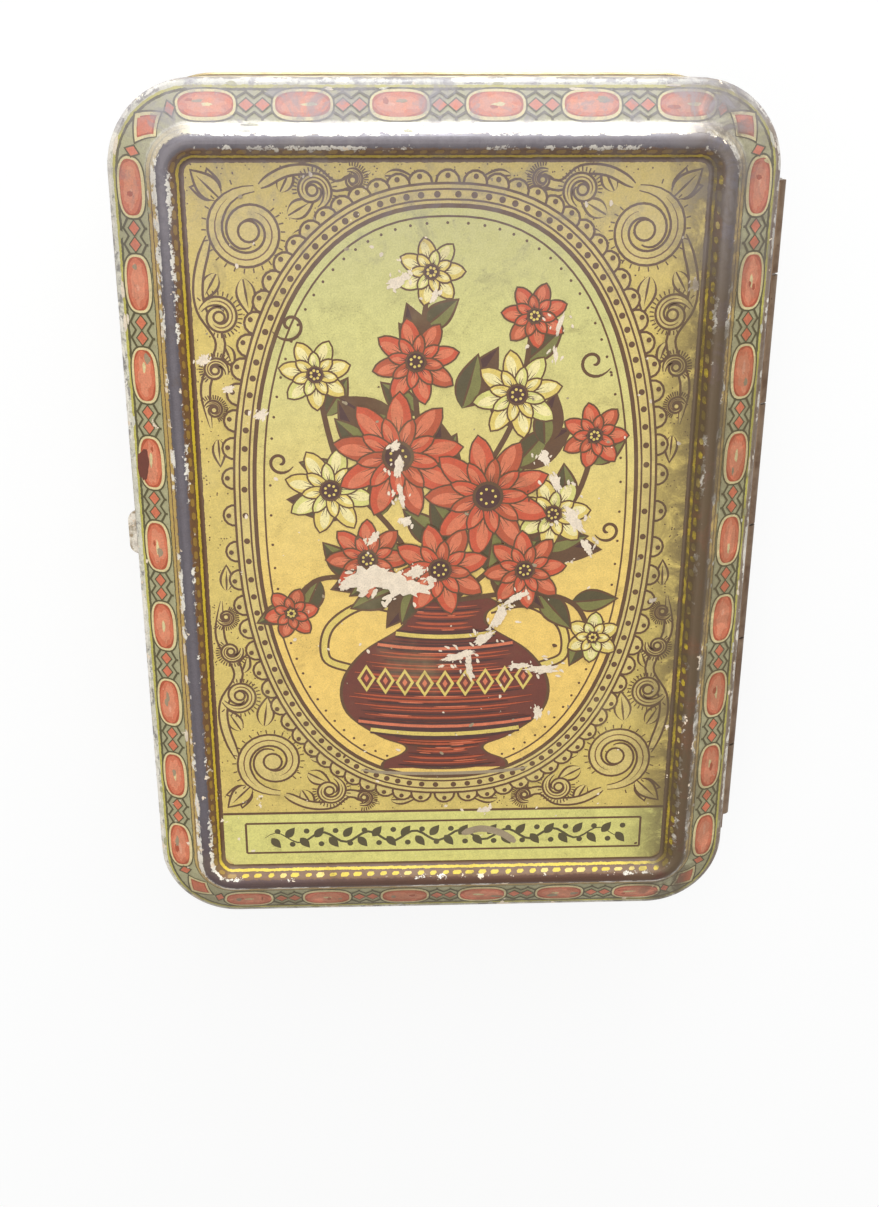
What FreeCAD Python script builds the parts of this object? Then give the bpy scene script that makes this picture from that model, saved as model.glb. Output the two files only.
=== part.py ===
import FreeCAD, Part
import math
import os
import re

import Sketcher

# A flat hinged tin: a stamped lid with a raised moulding round a sunk panel, a necked wall,
# a seamed-on bottom and a full-length wire hinge. Millimetres, +Z up, the lid on top.
# The origin is the centre of the tin's footprint, on the table. The hinge is at +X.

DIMENSIONS = {
    # Overall
    "lidWidth": 84.0,
    "lidLength": 119.0,
    "tinHeight": 30.0,
    "cornerRadius": 11.0,
    "sheetThick": 0.3,
    # Lid, from the rim inwards
    "lidDepth": 9.2,
    "bandRun": 5.2,
    "bandRise": 2.4,
    "mouldingRise": 1.7,
    "mouldingRun": 1.5,
    "crestWidth": 1.2,
    "panelDrop": 1.75,
    "panelRun": 1.5,
    "rimRound": 1.1,
    "crestRound": 1.0,
    "footRound": 0.35,
    "hemHeight": 2.2,
    "hemBevel": 0.2,
    # Thumb lip
    "lipLength": 6.2,
    "lipReach": 1.8,
    "lipThick": 0.6,
    "lipRound": 1.3,
    # Wall
    "neckClear": 0.3,
    "seatGap": 0.2,
    "partingGap": 0.8,
    "shoulderDrop": 0.8,
    "curlThick": 0.75,
    "curlHeight": 1.1,
    "curlBevel": 0.25,
    "seamLapWidth": 4.0,
    "seamLapOffset": 20.0,
    # Bottom
    "seamHeight": 2.4,
    "seamClear": 0.05,
    "seamBevel": 0.2,
    "bottomRise": 2.7,
    "stepInset": 5.0,
    "stepHeight": 0.5,
    # Hinge
    "hingeLength": 94.0,
    "endKnuckle": 12.0,
    "knuckleCount": 6,
    "knuckleGap": 0.3,
    "pinRadius": 0.9,
    "pinClear": 0.05,
    "pinProud": 0.2,
    "pinBevel": 0.3,
    "leafThick": 0.25,
    "lidLeafHeight": 5.0,
    "baseLeafHeight": 6.0,
    "rollEnd": 130.0,
    "notchClear": 0.35,
}


def named(expression):
    """Write every alias of an expression with the sheet's name before it."""
    return re.sub(
        r"[A-Za-z]\w*",
        lambda word: "Sizes." + word[0] if word[0] in DIMENSIONS else word[0],
        expression,
    )


# Levels above the table and distances inwards from the lid's outer face.
SKIRT_BASE = "(tinHeight - lidDepth)"
CREST_TOP = "tinHeight"
BAND_TOP = "(tinHeight - mouldingRise)"
RIM_TOP = "(tinHeight - mouldingRise - bandRise)"
CREST_INNER = "(bandRun + mouldingRun + crestWidth)"
HEM_INNER = "(2 * sheetThick)"
NECK_INSET = "(2 * sheetThick + neckClear)"
BAND_THICK = "(sheetThick / cos(atan(bandRise / bandRun)))"
NECK_TOP = f"({RIM_TOP} + {NECK_INSET} * bandRise / bandRun - {BAND_THICK} - seatGap)"
HINGE_LEVEL = f"({SKIRT_BASE} - partingGap)"
SHOULDER_TOP = f"({HINGE_LEVEL} - partingGap)"
SHOULDER_FOOT = f"({SHOULDER_TOP} - shoulderDrop)"
SHOULDER_SLOPE = f"(-1 * atan({NECK_INSET} / shoulderDrop))"
BEND_DROP = f"(sheetThick * tan(-1 * {SHOULDER_SLOPE} / 2))"
WALL_FOOT = "(sheetThick + seamClear)"
BORE_RADIUS = "(pinRadius + pinClear)"
BARREL_RADIUS = "(pinRadius + pinClear + leafThick)"
HINGE_OUT = f"(lidWidth / 2 + {BARREL_RADIUS})"
INNER_KNUCKLE = "((hingeLength - 2 * endKnuckle) / (knuckleCount - 2))"

doc = FreeCAD.newDocument("HingedTin")
sheet = doc.addObject("Spreadsheet::Sheet", "Sizes")
for row, (alias, value) in enumerate(DIMENSIONS.items(), start=1):
    sheet.set(f"A{row}", alias)
    sheet.set(f"B{row}", str(value))
    sheet.setAlias(f"B{row}", alias)
doc.recompute()


# Helpers for bodies, sketches and features

def new_body(label):
    """Start a piece of its own, with the label that names its file."""
    body = doc.addObject("PartDesign::Body", label)
    body.Label = label
    return body


def new_sketch(body, name, role, height="0"):
    """Attach a sketch to one of the body's origin planes, lifted by an expression."""
    sketch = body.newObject("Sketcher::SketchObject", name)
    planes = [item for item in body.Origin.OriginFeatures if item.Role == role]
    sketch.AttachmentSupport = [(planes[0], "")]
    sketch.MapMode = "FlatFace"
    sketch.setExpression("AttachmentOffset.Base.z", named(height))
    return sketch


def bind(sketch, constraint, name, expression):
    """Add a constraint and let an expression of the sheet drive it."""
    index = sketch.addConstraint(constraint)
    sketch.renameConstraint(index, name)
    sketch.setExpression("Constraints." + name, named(expression))


def rounded_rectangle(sketch, inset, tag=""):
    """Draw the tin's outline, moved inwards by an expression, about the sketch's origin."""
    half_width, half_length, radius = 20.0, 30.0, 5.0
    across, along = half_width - radius, half_length - radius
    first = len(sketch.Geometry)
    for start, end in (
        ((-across, half_length), (across, half_length)),
        ((half_width, along), (half_width, -along)),
        ((across, -half_length), (-across, -half_length)),
        ((-half_width, -along), (-half_width, along)),
    ):
        line = Part.LineSegment(FreeCAD.Vector(*start, 0), FreeCAD.Vector(*end, 0))
        sketch.addGeometry(line)
    for centre, quarter in (
        ((across, along), 0),
        ((across, -along), 3),
        ((-across, -along), 2),
        ((-across, along), 1),
    ):
        circle = Part.Circle(FreeCAD.Vector(*centre, 0), FreeCAD.Vector(0, 0, 1), radius)
        arc = Part.ArcOfCircle(circle, quarter * math.pi / 2, (quarter + 1) * math.pi / 2)
        sketch.addGeometry(arc)
    top, right, bottom, left = range(first, first + 4)
    arcs = range(first + 4, first + 8)
    constraints = []
    for line, arc, following in zip(
        (top, right, bottom, left), arcs, (right, bottom, left, top)
    ):
        constraints.append(Sketcher.Constraint("Tangent", line, 2, arc, 2))
        constraints.append(Sketcher.Constraint("Tangent", arc, 1, following, 1))
    constraints.append(Sketcher.Constraint("Horizontal", bottom))
    constraints.append(Sketcher.Constraint("Vertical", left))
    for arc, following in zip(arcs, list(arcs)[1:]):
        constraints.append(Sketcher.Constraint("Equal", arc, following))
    constraints.append(Sketcher.Constraint("Symmetric", top, 1, top, 2, -2))
    constraints.append(Sketcher.Constraint("Symmetric", right, 1, right, 2, -1))
    sketch.addConstraint(constraints)
    across_all = Sketcher.Constraint("DistanceX", left, 1, right, 1, 2 * half_width)
    along_all = Sketcher.Constraint("DistanceY", bottom, 1, top, 1, 2 * half_length)
    bind(sketch, across_all, "width" + tag, f"lidWidth - 2 * ({inset})")
    bind(sketch, along_all, "length" + tag, f"lidLength - 2 * ({inset})")
    corner = Sketcher.Constraint("Radius", first + 4, radius)
    bind(sketch, corner, "radius" + tag, f"cornerRadius - ({inset})")


def rectangle(sketch, low_u, high_u, low_v, high_v):
    """Draw a rectangle between four expressions, measured from the sketch's origin."""
    corners = [FreeCAD.Vector(*place, 0) for place in ((1, 1), (2, 1), (2, 2), (1, 2))]
    for start, end in zip(corners, corners[1:] + corners[:1]):
        sketch.addGeometry(Part.LineSegment(start, end))
    for line in range(4):
        joint = Sketcher.Constraint("Coincident", line, 2, (line + 1) % 4, 1)
        sketch.addConstraint(joint)
    for line, kind in enumerate(("Horizontal", "Vertical", "Horizontal", "Vertical")):
        sketch.addConstraint(Sketcher.Constraint(kind, line))
    bind(sketch, Sketcher.Constraint("DistanceX", -1, 1, 0, 1, 1.0), "lowU", low_u)
    bind(sketch, Sketcher.Constraint("DistanceX", -1, 1, 1, 2, 2.0), "highU", high_u)
    bind(sketch, Sketcher.Constraint("DistanceY", -1, 1, 0, 1, 1.0), "lowV", low_v)
    bind(sketch, Sketcher.Constraint("DistanceY", -1, 1, 1, 2, 2.0), "highV", high_v)


def must_change(feature, before, sign):
    """Stop when a feature added or removed nothing, or the wrong way round."""
    change = (feature.Shape.Volume - before) * sign
    if change <= 0:
        raise RuntimeError(f"{feature.Name} changed the volume by {change * sign:.4f}")


def volume_of(body):
    """Give the body's present volume, 0 when it is still empty."""
    return 0.0 if body.Shape.isNull() else body.Shape.Volume


def pad(body, name, sketch, length, taper=None, midplane=False):
    """Raise a profile by an expression, with an optional slope of its sides."""
    before = volume_of(body)
    feature = body.newObject("PartDesign::Pad", name)
    feature.Profile = sketch
    feature.Midplane = midplane
    feature.setExpression("Length", named(length))
    if taper:
        feature.setExpression("TaperAngle", named(taper))
    doc.recompute()
    must_change(feature, before, 1)
    return feature


def pocket(body, name, sketch, length, taper=None, reverse=False):
    """Sink a profile by an expression, with an optional slope of its sides."""
    before = volume_of(body)
    feature = body.newObject("PartDesign::Pocket", name)
    feature.Profile = sketch
    feature.Reversed = reverse
    feature.setExpression("Length", named(length))
    if taper:
        feature.setExpression("TaperAngle", named(taper))
    doc.recompute()
    must_change(feature, before, -1)
    return feature


def dress(body, kind, name, edges, setting, expression):
    """Round or bevel the named edges of the body's last feature."""
    base = body.Tip
    if not edges:
        raise RuntimeError(f"{name} found no edge")
    feature = body.newObject("PartDesign::" + kind, name)
    feature.Base = (base, edges)
    feature.setExpression(setting, named(expression))
    doc.recompute()


def fillet(body, name, edges, radius):
    """Round edges with a radius from an expression."""
    dress(body, "Fillet", name, edges, "Radius", radius)


def bevel(body, name, edges, size):
    """Bevel edges by an expression."""
    dress(body, "Chamfer", name, edges, "Size", size)


def amount(expression):
    """Give the present value of an expression of the sheet."""
    value = sheet.evalExpression(named(expression))
    return float(getattr(value, "Value", value))


def edges_where(shape, test):
    """Name the edges whose bounding box passes a test."""
    return [
        f"Edge{index}" for index, edge in enumerate(shape.Edges, start=1)
        if test(edge.BoundBox)
    ]


def level_edges(body, level, reach=None):
    """Name the flat edges at a level, or only those that reach about as far out as reach."""
    height = amount(level)

    def at_level(box):
        if max(abs(box.ZMin - height), abs(box.ZMax - height)) > 0.001:
            return False
        if reach is None:
            return True
        out = max(
            max(abs(box.XMin), abs(box.XMax)) - amount("lidWidth / 2"),
            max(abs(box.YMin), abs(box.YMax)) - amount("lidLength / 2"),
        )
        return abs(out + amount(reach)) < 0.01

    return edges_where(body.Shape, at_level)


def sheet_metal(body, name, level):
    """Hollow the body to the sheet's thickness, open at the face that lies at a level."""
    base = body.Tip
    height = amount(level)
    faces = [
        f"Face{index}" for index, face in enumerate(base.Shape.Faces, start=1)
        if max(abs(face.BoundBox.ZMin - height), abs(face.BoundBox.ZMax - height)) < 0.001
    ]
    feature = body.newObject("PartDesign::Thickness", name)
    feature.Base = (base, faces)
    feature.Reversed = True
    feature.setExpression("Value", named("sheetThick"))
    doc.recompute()


# Lid: one stamping, with its hem and thumb lip

def make_lid_shell():
    body = new_body("lid_shell")
    outline = new_sketch(body, "SkirtOutline", "XY_Plane", SKIRT_BASE)
    rounded_rectangle(outline, "0")
    pad(body, "Skirt", outline, f"{RIM_TOP} - {SKIRT_BASE}")

    rim = new_sketch(body, "RimOutline", "XY_Plane", RIM_TOP)
    rounded_rectangle(rim, "0")
    pad(body, "BorderBand", rim, "bandRise", "-1 * atan(bandRun / bandRise)")

    foot = new_sketch(body, "MouldingOutline", "XY_Plane", BAND_TOP)
    rounded_rectangle(foot, "bandRun")
    pad(body, "Moulding", foot, "mouldingRise", "-1 * atan(mouldingRun / mouldingRise)")

    sunk = new_sketch(body, "PanelOutline", "XY_Plane", CREST_TOP)
    rounded_rectangle(sunk, CREST_INNER)
    pocket(body, "SunkPanel", sunk, "panelDrop", "-1 * atan(panelRun / panelDrop)")

    fillet(body, "RimRounding", level_edges(body, RIM_TOP), "rimRound")
    fillet(body, "CrestRounding", level_edges(body, CREST_TOP), "crestRound")
    feet = level_edges(body, BAND_TOP) + level_edges(body, "tinHeight - panelDrop")
    fillet(body, "FootRounding", feet, "footRound")
    sheet_metal(body, "LidSheet", SKIRT_BASE)

    hem = new_sketch(body, "HemOutline", "XY_Plane", SKIRT_BASE)
    rounded_rectangle(hem, "sheetThick / 2", "Outer")
    rounded_rectangle(hem, HEM_INNER, "Inner")
    pad(body, "FoldedHem", hem, "hemHeight")

    lip = new_sketch(body, "LipOutline", "XY_Plane", SKIRT_BASE)
    rectangle(
        lip,
        "-1 * (lidWidth / 2 + lipReach)", "-1 * (lidWidth / 2 - sheetThick / 2)",
        "-1 * lipLength / 2", "lipLength / 2",
    )
    pad(body, "ThumbLip", lip, "lipThick")
    tip = -amount("lidWidth / 2 + lipReach")
    corners = edges_where(
        body.Shape,
        lambda box: box.XMax < tip + 0.001 and box.YLength < 0.001,
    )
    fillet(body, "LipRounding", corners, "min(lipRound ; lipReach * 0.9)")
    bevel(body, "HemBevel", level_edges(body, SKIRT_BASE, HEM_INNER), "hemBevel")
    return body


# Wall of the base: a strip with a neck, a curled edge and a lock seam

def make_base_wall():
    body = new_body("base_wall")
    for part, inset, drop in (("Outer", "0", "0"), ("Inner", "sheetThick", BEND_DROP)):
        stages = (
            ("Wall", inset, WALL_FOOT, f"{SHOULDER_FOOT} - {drop} - {WALL_FOOT}", None),
            ("Shoulder", inset, f"{SHOULDER_FOOT} - {drop}", "shoulderDrop", SHOULDER_SLOPE),
            (
                "Neck", f"{NECK_INSET} + {inset}", f"{SHOULDER_TOP} - {drop}",
                f"{NECK_TOP} - {SHOULDER_TOP} + {drop}", None,
            ),
        )
        for stage, outline_inset, level, length, slope in stages:
            outline = new_sketch(body, f"{part}{stage}Outline", "XY_Plane", level)
            rounded_rectangle(outline, outline_inset)
            if part == "Outer":
                pad(body, part + stage, outline, length, slope)
            else:
                pocket(body, part + stage, outline, length, slope, reverse=True)

    curl = new_sketch(body, "CurlOutline", "XY_Plane", f"{NECK_TOP} - curlHeight")
    rounded_rectangle(curl, f"{NECK_INSET} + sheetThick / 2", "Outer")
    rounded_rectangle(curl, f"{NECK_INSET} + curlThick", "Inner")
    pad(body, "CurledEdge", curl, "curlHeight")
    bevel(body, "CurlBevel", level_edges(body, NECK_TOP), "curlBevel")

    lap = new_sketch(body, "SeamLapOutline", "XY_Plane", "bottomRise + seamClear")
    rectangle(
        lap,
        "seamLapOffset - seamLapWidth / 2", "seamLapOffset + seamLapWidth / 2",
        "-1 * (lidLength / 2 - sheetThick / 2)", "-1 * (lidLength / 2 - 2 * sheetThick)",
    )
    pad(body, "SeamLap", lap, f"{SHOULDER_FOOT} - bottomRise - sheetThick")
    return body


# Bottom: a pan whose edge is folded up round the foot of the wall

def make_base_bottom():
    body = new_body("base_bottom")
    outer = new_sketch(body, "SeamOutline", "XY_Plane")
    rounded_rectangle(outer, "-1 * (sheetThick + seamClear)")
    pad(body, "SeamRing", outer, "seamHeight")

    channel = new_sketch(body, "ChannelOutline", "XY_Plane", "seamHeight")
    rounded_rectangle(channel, "-1 * seamClear")
    pocket(body, "Channel", channel, "seamHeight - sheetThick")

    pan = new_sketch(body, "PanOutline", "XY_Plane")
    rounded_rectangle(pan, "sheetThick + seamClear")
    pad(body, "Pan", pan, "bottomRise")

    hollow = new_sketch(body, "PanHollowOutline", "XY_Plane")
    rounded_rectangle(hollow, "2 * sheetThick + seamClear")
    pocket(body, "PanHollow", hollow, "bottomRise - sheetThick", reverse=True)

    raised = new_sketch(body, "StepOutline", "XY_Plane", "bottomRise - sheetThick")
    rounded_rectangle(raised, "stepInset")
    pad(body, "RaisedPanel", raised, "sheetThick + stepHeight")
    under = new_sketch(body, "StepHollowOutline", "XY_Plane", "bottomRise - sheetThick")
    rounded_rectangle(under, "stepInset + sheetThick")
    pocket(body, "StepHollow", under, "stepHeight", reverse=True)
    ply = "-1 * (sheetThick + seamClear)"
    bevel(body, "SeamTopBevel", level_edges(body, "seamHeight", ply), "seamBevel")
    bevel(body, "SeamFootBevel", level_edges(body, "0", ply), "seamBevel")
    return body


# Hinge: two curled leaves and their wire pin

def leaf_profile(sketch, side, height):
    """Draw a leaf on the wall's face whose foot is rolled round the pin; side is up or down."""
    out, level = amount(HINGE_OUT), amount(HINGE_LEVEL)
    bore, barrel = amount(BORE_RADIUS), amount(BARREL_RADIUS)
    end = math.radians(amount("rollEnd")) * side
    reach = amount(height) * side
    centre = FreeCAD.Vector(out, level, 0)
    normal = FreeCAD.Vector(0, 0, 1)

    def on_circle(radius, angle):
        return centre + FreeCAD.Vector(radius * math.cos(angle), radius * math.sin(angle), 0)

    span = (math.pi, 2 * math.pi + end) if side > 0 else (end, math.pi)
    barrel_start, barrel_end = (1, 2) if side > 0 else (2, 1)
    back_top = on_circle(barrel, math.pi) + FreeCAD.Vector(0, reach, 0)
    face_top = on_circle(bore, math.pi) + FreeCAD.Vector(0, reach, 0)
    sketch.addGeometry(Part.ArcOfCircle(Part.Circle(centre, normal, barrel), *span))
    sketch.addGeometry(Part.ArcOfCircle(Part.Circle(centre, normal, bore), *span))
    sketch.addGeometry(Part.LineSegment(on_circle(barrel, end), on_circle(bore, end)))
    sketch.addGeometry(Part.LineSegment(on_circle(barrel, math.pi), back_top))
    sketch.addGeometry(Part.LineSegment(back_top, face_top))
    sketch.addGeometry(Part.LineSegment(face_top, on_circle(bore, math.pi)))
    outer, inner, edge, back, top, face = range(6)
    sketch.addConstraint([
        Sketcher.Constraint("Coincident", outer, 3, inner, 3),
        Sketcher.Constraint("Coincident", edge, 1, outer, barrel_end),
        Sketcher.Constraint("Coincident", edge, 2, inner, barrel_end),
        Sketcher.Constraint("PointOnObject", outer, 3, edge),
        Sketcher.Constraint("Tangent", outer, barrel_start, back, 1),
        Sketcher.Constraint("Coincident", back, 2, top, 1),
        Sketcher.Constraint("Coincident", top, 2, face, 1),
        Sketcher.Constraint("Tangent", inner, barrel_start, face, 2),
        Sketcher.Constraint("Vertical", back),
        Sketcher.Constraint("Horizontal", top),
        Sketcher.Constraint("Vertical", face),
    ])
    bind(sketch, Sketcher.Constraint("DistanceX", -1, 1, outer, 3, out), "out", HINGE_OUT)
    bind(sketch, Sketcher.Constraint("DistanceY", -1, 1, outer, 3, level), "level", HINGE_LEVEL)
    bind(sketch, Sketcher.Constraint("Radius", outer, barrel), "barrel", BARREL_RADIUS)
    bind(sketch, Sketcher.Constraint("Radius", inner, bore), "bore", BORE_RADIUS)
    tall = Sketcher.Constraint("DistanceY", back, 1, back, 2, reach)
    bind(sketch, tall, "tall", f"{side} * {height}")
    lead = Sketcher.Constraint("DistanceX", outer, 3, outer, barrel_end, barrel * math.cos(end))
    bind(sketch, lead, "rollLead", f"{BARREL_RADIUS} * cos(rollEnd)")


def knuckle_edges(index):
    """Give the two ends of a knuckle along the hinge, counted from the +Y end."""
    def boundary(count):
        if count == 0:
            return "(hingeLength / 2)"
        if count == DIMENSIONS["knuckleCount"]:
            return "(-1 * hingeLength / 2)"
        return f"(hingeLength / 2 - endKnuckle - {count - 1} * {INNER_KNUCKLE})"

    return boundary(index + 1), boundary(index)


def make_leaf(label, side, height, foreign):
    """Make one leaf and cut it away round the other leaf's knuckles."""
    body = new_body(label)
    profile = new_sketch(body, label + "_section", "XZ_Plane")
    leaf_profile(profile, side, height)
    pad(body, label + "_strip", profile, "hingeLength", midplane=True)
    for index in foreign:
        low, high = knuckle_edges(index)
        beyond = f"({HINGE_LEVEL} - {side} * 2 * {BARREL_RADIUS})"
        notch_end = f"({HINGE_LEVEL} + {side} * ({BARREL_RADIUS} + notchClear))"
        levels = (beyond, notch_end) if side > 0 else (notch_end, beyond)
        cut = new_sketch(body, f"{label}_notch_{index}", "YZ_Plane", "lidWidth / 2 - leafThick")
        rectangle(cut, f"{low} - knuckleGap / 2", f"{high} + knuckleGap / 2", *levels)
        through = f"2 * leafThick + 2 * {BARREL_RADIUS}"
        pocket(body, f"{label}_gap_{index}", cut, through, reverse=True)
    return body


def make_hinge_pin():
    body = new_body("hinge_pin")
    section = new_sketch(body, "PinSection", "XZ_Plane")
    centre = FreeCAD.Vector(amount(HINGE_OUT), amount(HINGE_LEVEL), 0)
    circle = Part.Circle(centre, FreeCAD.Vector(0, 0, 1), amount("pinRadius"))
    section.addGeometry(circle)
    bind(section, Sketcher.Constraint("DistanceX", -1, 1, 0, 3, centre.x), "out", HINGE_OUT)
    bind(section, Sketcher.Constraint("DistanceY", -1, 1, 0, 3, centre.y), "level", HINGE_LEVEL)
    bind(section, Sketcher.Constraint("Radius", 0, circle.Radius), "wire", "pinRadius")
    pad(body, "Wire", section, "hingeLength + 2 * pinProud", midplane=True)
    ends = edges_where(body.Shape, lambda box: box.YLength < 0.001)
    bevel(body, "PinEnds", ends, "pinBevel")
    return body


def export(pieces):
    """Check every object, then write one file for each piece."""
    doc.recompute()
    for item in doc.Objects:
        if "Invalid" in item.State or "Error" in item.State:
            raise RuntimeError(f"{item.Label} is in state {item.State}")
    for piece in pieces:
        if piece.Shape.isNull() or not piece.Shape.isValid():
            raise RuntimeError(f"{piece.Label} has no valid shape")
        print(f"{piece.Label}: {len(piece.Shape.Solids)} solid, {piece.Shape.Volume:.1f} mm3")
    os.makedirs("parts", exist_ok=True)
    for piece in pieces:
        piece.Shape.exportStep(f"parts/{piece.Label}.step")


even = range(0, DIMENSIONS["knuckleCount"], 2)
odd = range(1, DIMENSIONS["knuckleCount"], 2)
export([
    make_lid_shell(),
    make_base_wall(),
    make_base_bottom(),
    make_leaf("lid_hinge_leaf", 1, "lidLeafHeight", even),
    make_leaf("base_hinge_leaf", -1, "baseLeafHeight", odd),
    make_hinge_pin(),
])
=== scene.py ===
"""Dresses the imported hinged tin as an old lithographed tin, in metres, +Z up.

The lid's border, moulding and sunk panel carry worn litho printing, made of thin flat shapes of
ink that lie on the CAD faces, over tinplate materials that are worked out from the lid's own
relief. The photograph's top edge is +Y and the hinge is at +X.
"""

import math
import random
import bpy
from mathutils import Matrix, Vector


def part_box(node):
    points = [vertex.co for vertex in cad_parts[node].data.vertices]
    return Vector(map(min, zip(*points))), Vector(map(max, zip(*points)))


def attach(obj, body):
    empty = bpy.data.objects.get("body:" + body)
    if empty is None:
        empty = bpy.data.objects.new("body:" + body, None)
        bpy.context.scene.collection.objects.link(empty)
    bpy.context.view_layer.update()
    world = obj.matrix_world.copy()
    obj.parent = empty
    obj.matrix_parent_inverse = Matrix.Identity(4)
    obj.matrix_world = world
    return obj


bl_info = {
    "name": "Lithographed Tin",
    "version": (1, 0, 0),
    "blender": (4, 5, 0),
    "location": "View3D > Sidebar > Tin",
    "description": "Print, tinplate and stage for a flat hinged tin",
    "category": "Object",
}

import bpy
from mathutils import Matrix, Vector
from mathutils.bvhtree import BVHTree

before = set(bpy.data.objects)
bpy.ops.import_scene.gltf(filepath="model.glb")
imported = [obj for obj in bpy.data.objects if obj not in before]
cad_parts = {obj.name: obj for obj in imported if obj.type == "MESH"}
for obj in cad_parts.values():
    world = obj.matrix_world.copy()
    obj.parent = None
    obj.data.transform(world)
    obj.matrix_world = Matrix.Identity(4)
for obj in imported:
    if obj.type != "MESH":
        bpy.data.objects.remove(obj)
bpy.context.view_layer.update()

MM = 0.001

# Ink on the flat panel and on bent faces, in millimetres: the gap under the lowest layer, the
# step from one layer to the next, and the width of the slices that follow a bend.
FLAT_CLEARANCE, FLAT_LAYER = 0.004, 0.001
BENT_CLEARANCE, BENT_LAYER = 0.03, 0.003
SLICE = 0.6


# Sizes and inks that a user would change

def length(name, millimetres, text):
    """A property that holds a length, given here in millimetres."""
    return bpy.props.FloatProperty(
        name=name, description=text, default=millimetres * MM, min=0.0, unit="LENGTH"
    )


def linear(red, green, blue):
    """Turn a colour given from 0 to 255, as a screen shows it, into scene values."""
    return tuple(
        part / 12.92 if part <= 0.04045 else ((part + 0.055) / 1.055) ** 2.4
        for part in (red / 255, green / 255, blue / 255)
    )


def colour(name, shown, text):
    """A property that holds a colour, given here as a screen shows it."""
    return bpy.props.FloatVectorProperty(
        name=name, description=text, default=linear(*shown),
        size=3, min=0.0, max=1.0, subtype="COLOR",
    )


class TinSizes(bpy.types.PropertyGroup):
    corner_radius: length("Corner radius", 11.0, "Radius of the tin's corners at the rim")
    chain_inset: length("Chain inset", 3.1, "From the rim to the middle of the border's chain")
    stone_length: length("Stone length", 7.3, "Length of one oval stone of the border")
    stone_width: length("Stone width", 3.6, "Width of one oval stone, with its cream setting")
    stone_pitch: length("Stone pitch", 11.7, "From one oval stone to the next")
    rope_inset: length("Rope inset", 8.42, "From the rim to the rope round the moulding")
    rope_pitch: length("Rope pitch", 1.85, "From one turn of the rope to the next")
    panel_inset: length("Panel inset", 9.4, "From the rim to the edge of the sunk panel")
    plaque_height: length("Plaque height", 8.9, "Height of the plaque at the panel's foot")
    fine_line: length("Fine line", 0.32, "Width of the thinnest printed line")
    bold_line: length("Bold line", 0.6, "Width of the heavier printed outline")


class TinInks(bpy.types.PropertyGroup):
    coral: colour("Coral", (210, 116, 82), "Stones of the border and the large blossoms")
    scarlet: colour("Scarlet", (196, 84, 54), "Petals of the large blossoms")
    rose: colour("Rose", (226, 158, 128), "Light side of coral shapes")
    blush: colour("Blush", (220, 138, 104), "Worn middle of the stones")
    faded: colour("Faded", (176, 140, 126), "Stones that have lost their colour")
    brick: colour("Brick", (176, 82, 50), "Shaded side of coral shapes")
    cream: colour("Cream", (222, 205, 152), "Settings of the stones")
    ground: colour("Ground", (172, 166, 128), "Pale green-grey of the border")
    moss: colour("Moss", (88, 80, 50), "Dark green outlines of the border")
    lemon: colour("Lemon", (190, 180, 88), "Yellow line round the rim")
    sulphur: colour("Sulphur", (212, 184, 52), "Rope and yellow line inside the moulding")
    gold: colour("Gold", (194, 160, 82), "Gold lines on the moulding")
    umber: colour("Umber", (92, 62, 36), "Brown line work")
    # Painted shade on the rope's turns along the +Y and -X sides, where the moulding's inner slope
    # lies in shade.
    ember: colour("Ember", (156, 122, 54), "Turns of the rope that have darkened")
    rope: colour("Rope", (112, 78, 46), "Shaded turns of the rope")
    ochre: colour("Ochre", (211, 186, 104), "Ground of the panel's corners")
    sand: colour("Sand", (212, 188, 116), "Light side of the scroll work")
    plaque: colour("Plaque", (214, 206, 122), "Plaque at the panel's foot")
    sky: colour("Sky", (205, 198, 128), "Upper part of the oval field")
    peach: colour("Peach", (236, 198, 108), "Lower part of the oval field")
    maroon: colour("Maroon", (104, 50, 36), "Body of the vase")
    wine: colour("Wine", (68, 36, 30), "Shade of the vase and blossom hearts")
    straw: colour("Straw", (220, 194, 104), "Yellow blossoms")
    butter: colour("Butter", (236, 220, 158), "Light side of the yellow blossoms")
    leaf: colour("Leaf", (120, 116, 62), "Leaves")
    shade: colour("Leaf shade", (78, 68, 38), "Dark side of the leaves")
    primer: colour("Primer", (234, 216, 192), "Pale coat that shows where the ink has flaked")
    scuff: colour("Scuff", (158, 140, 112), "Rubbed marks")
    bare: colour("Bare metal", (94, 87, 92), "Worn tinplate on the moulding's crest")
    rust: colour("Rust", (104, 72, 48), "Crest where it has browned")
    # Silver is also painted on the moulding's +Y slope as a highlight.
    silver: colour("Silver", (216, 210, 192), "Bright tinplate at the rim")
    chip: colour("Chip", (240, 232, 218), "Fresh chips along the moulding and the rim")
    lacquer: colour("Lacquer", (166, 148, 108), "Lacquered inside of the tin")
    grime: colour("Grime", (86, 70, 48), "Dirt in the print")
    # Painted reflection: a patchy grey sheen laid over the print on the +Y side, standing in for
    # the glare of the bright surroundings there.
    painted_sheen: colour("Haze", (140, 134, 138), "Grey bloom on the worn +Y side")


def millimetres(name):
    """Give one of the sizes in millimetres."""
    return getattr(bpy.context.scene.tin_sizes, name) / MM


def shown_ink(name):
    """Give one of the inks as a colour with alpha."""
    return (*getattr(bpy.context.scene.tin_inks, name), 1.0)


# Places on the tin

LID_LOW, LID_HIGH = (Vector(corner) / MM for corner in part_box("lid_shell"))
HALF_WIDTH = LID_HIGH.x
HALF_LENGTH = LID_HIGH.y
CREST = LID_HIGH.z
SKIRT_FOOT = LID_LOW.z
BAND_RISE = 2.4
MOULDING_RISE = 1.7
SHOULDER_DROP = 2.4
RIM_LEVEL = CREST - MOULDING_RISE - BAND_RISE
SHOULDER_LEVEL = SKIRT_FOOT - SHOULDER_DROP


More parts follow.
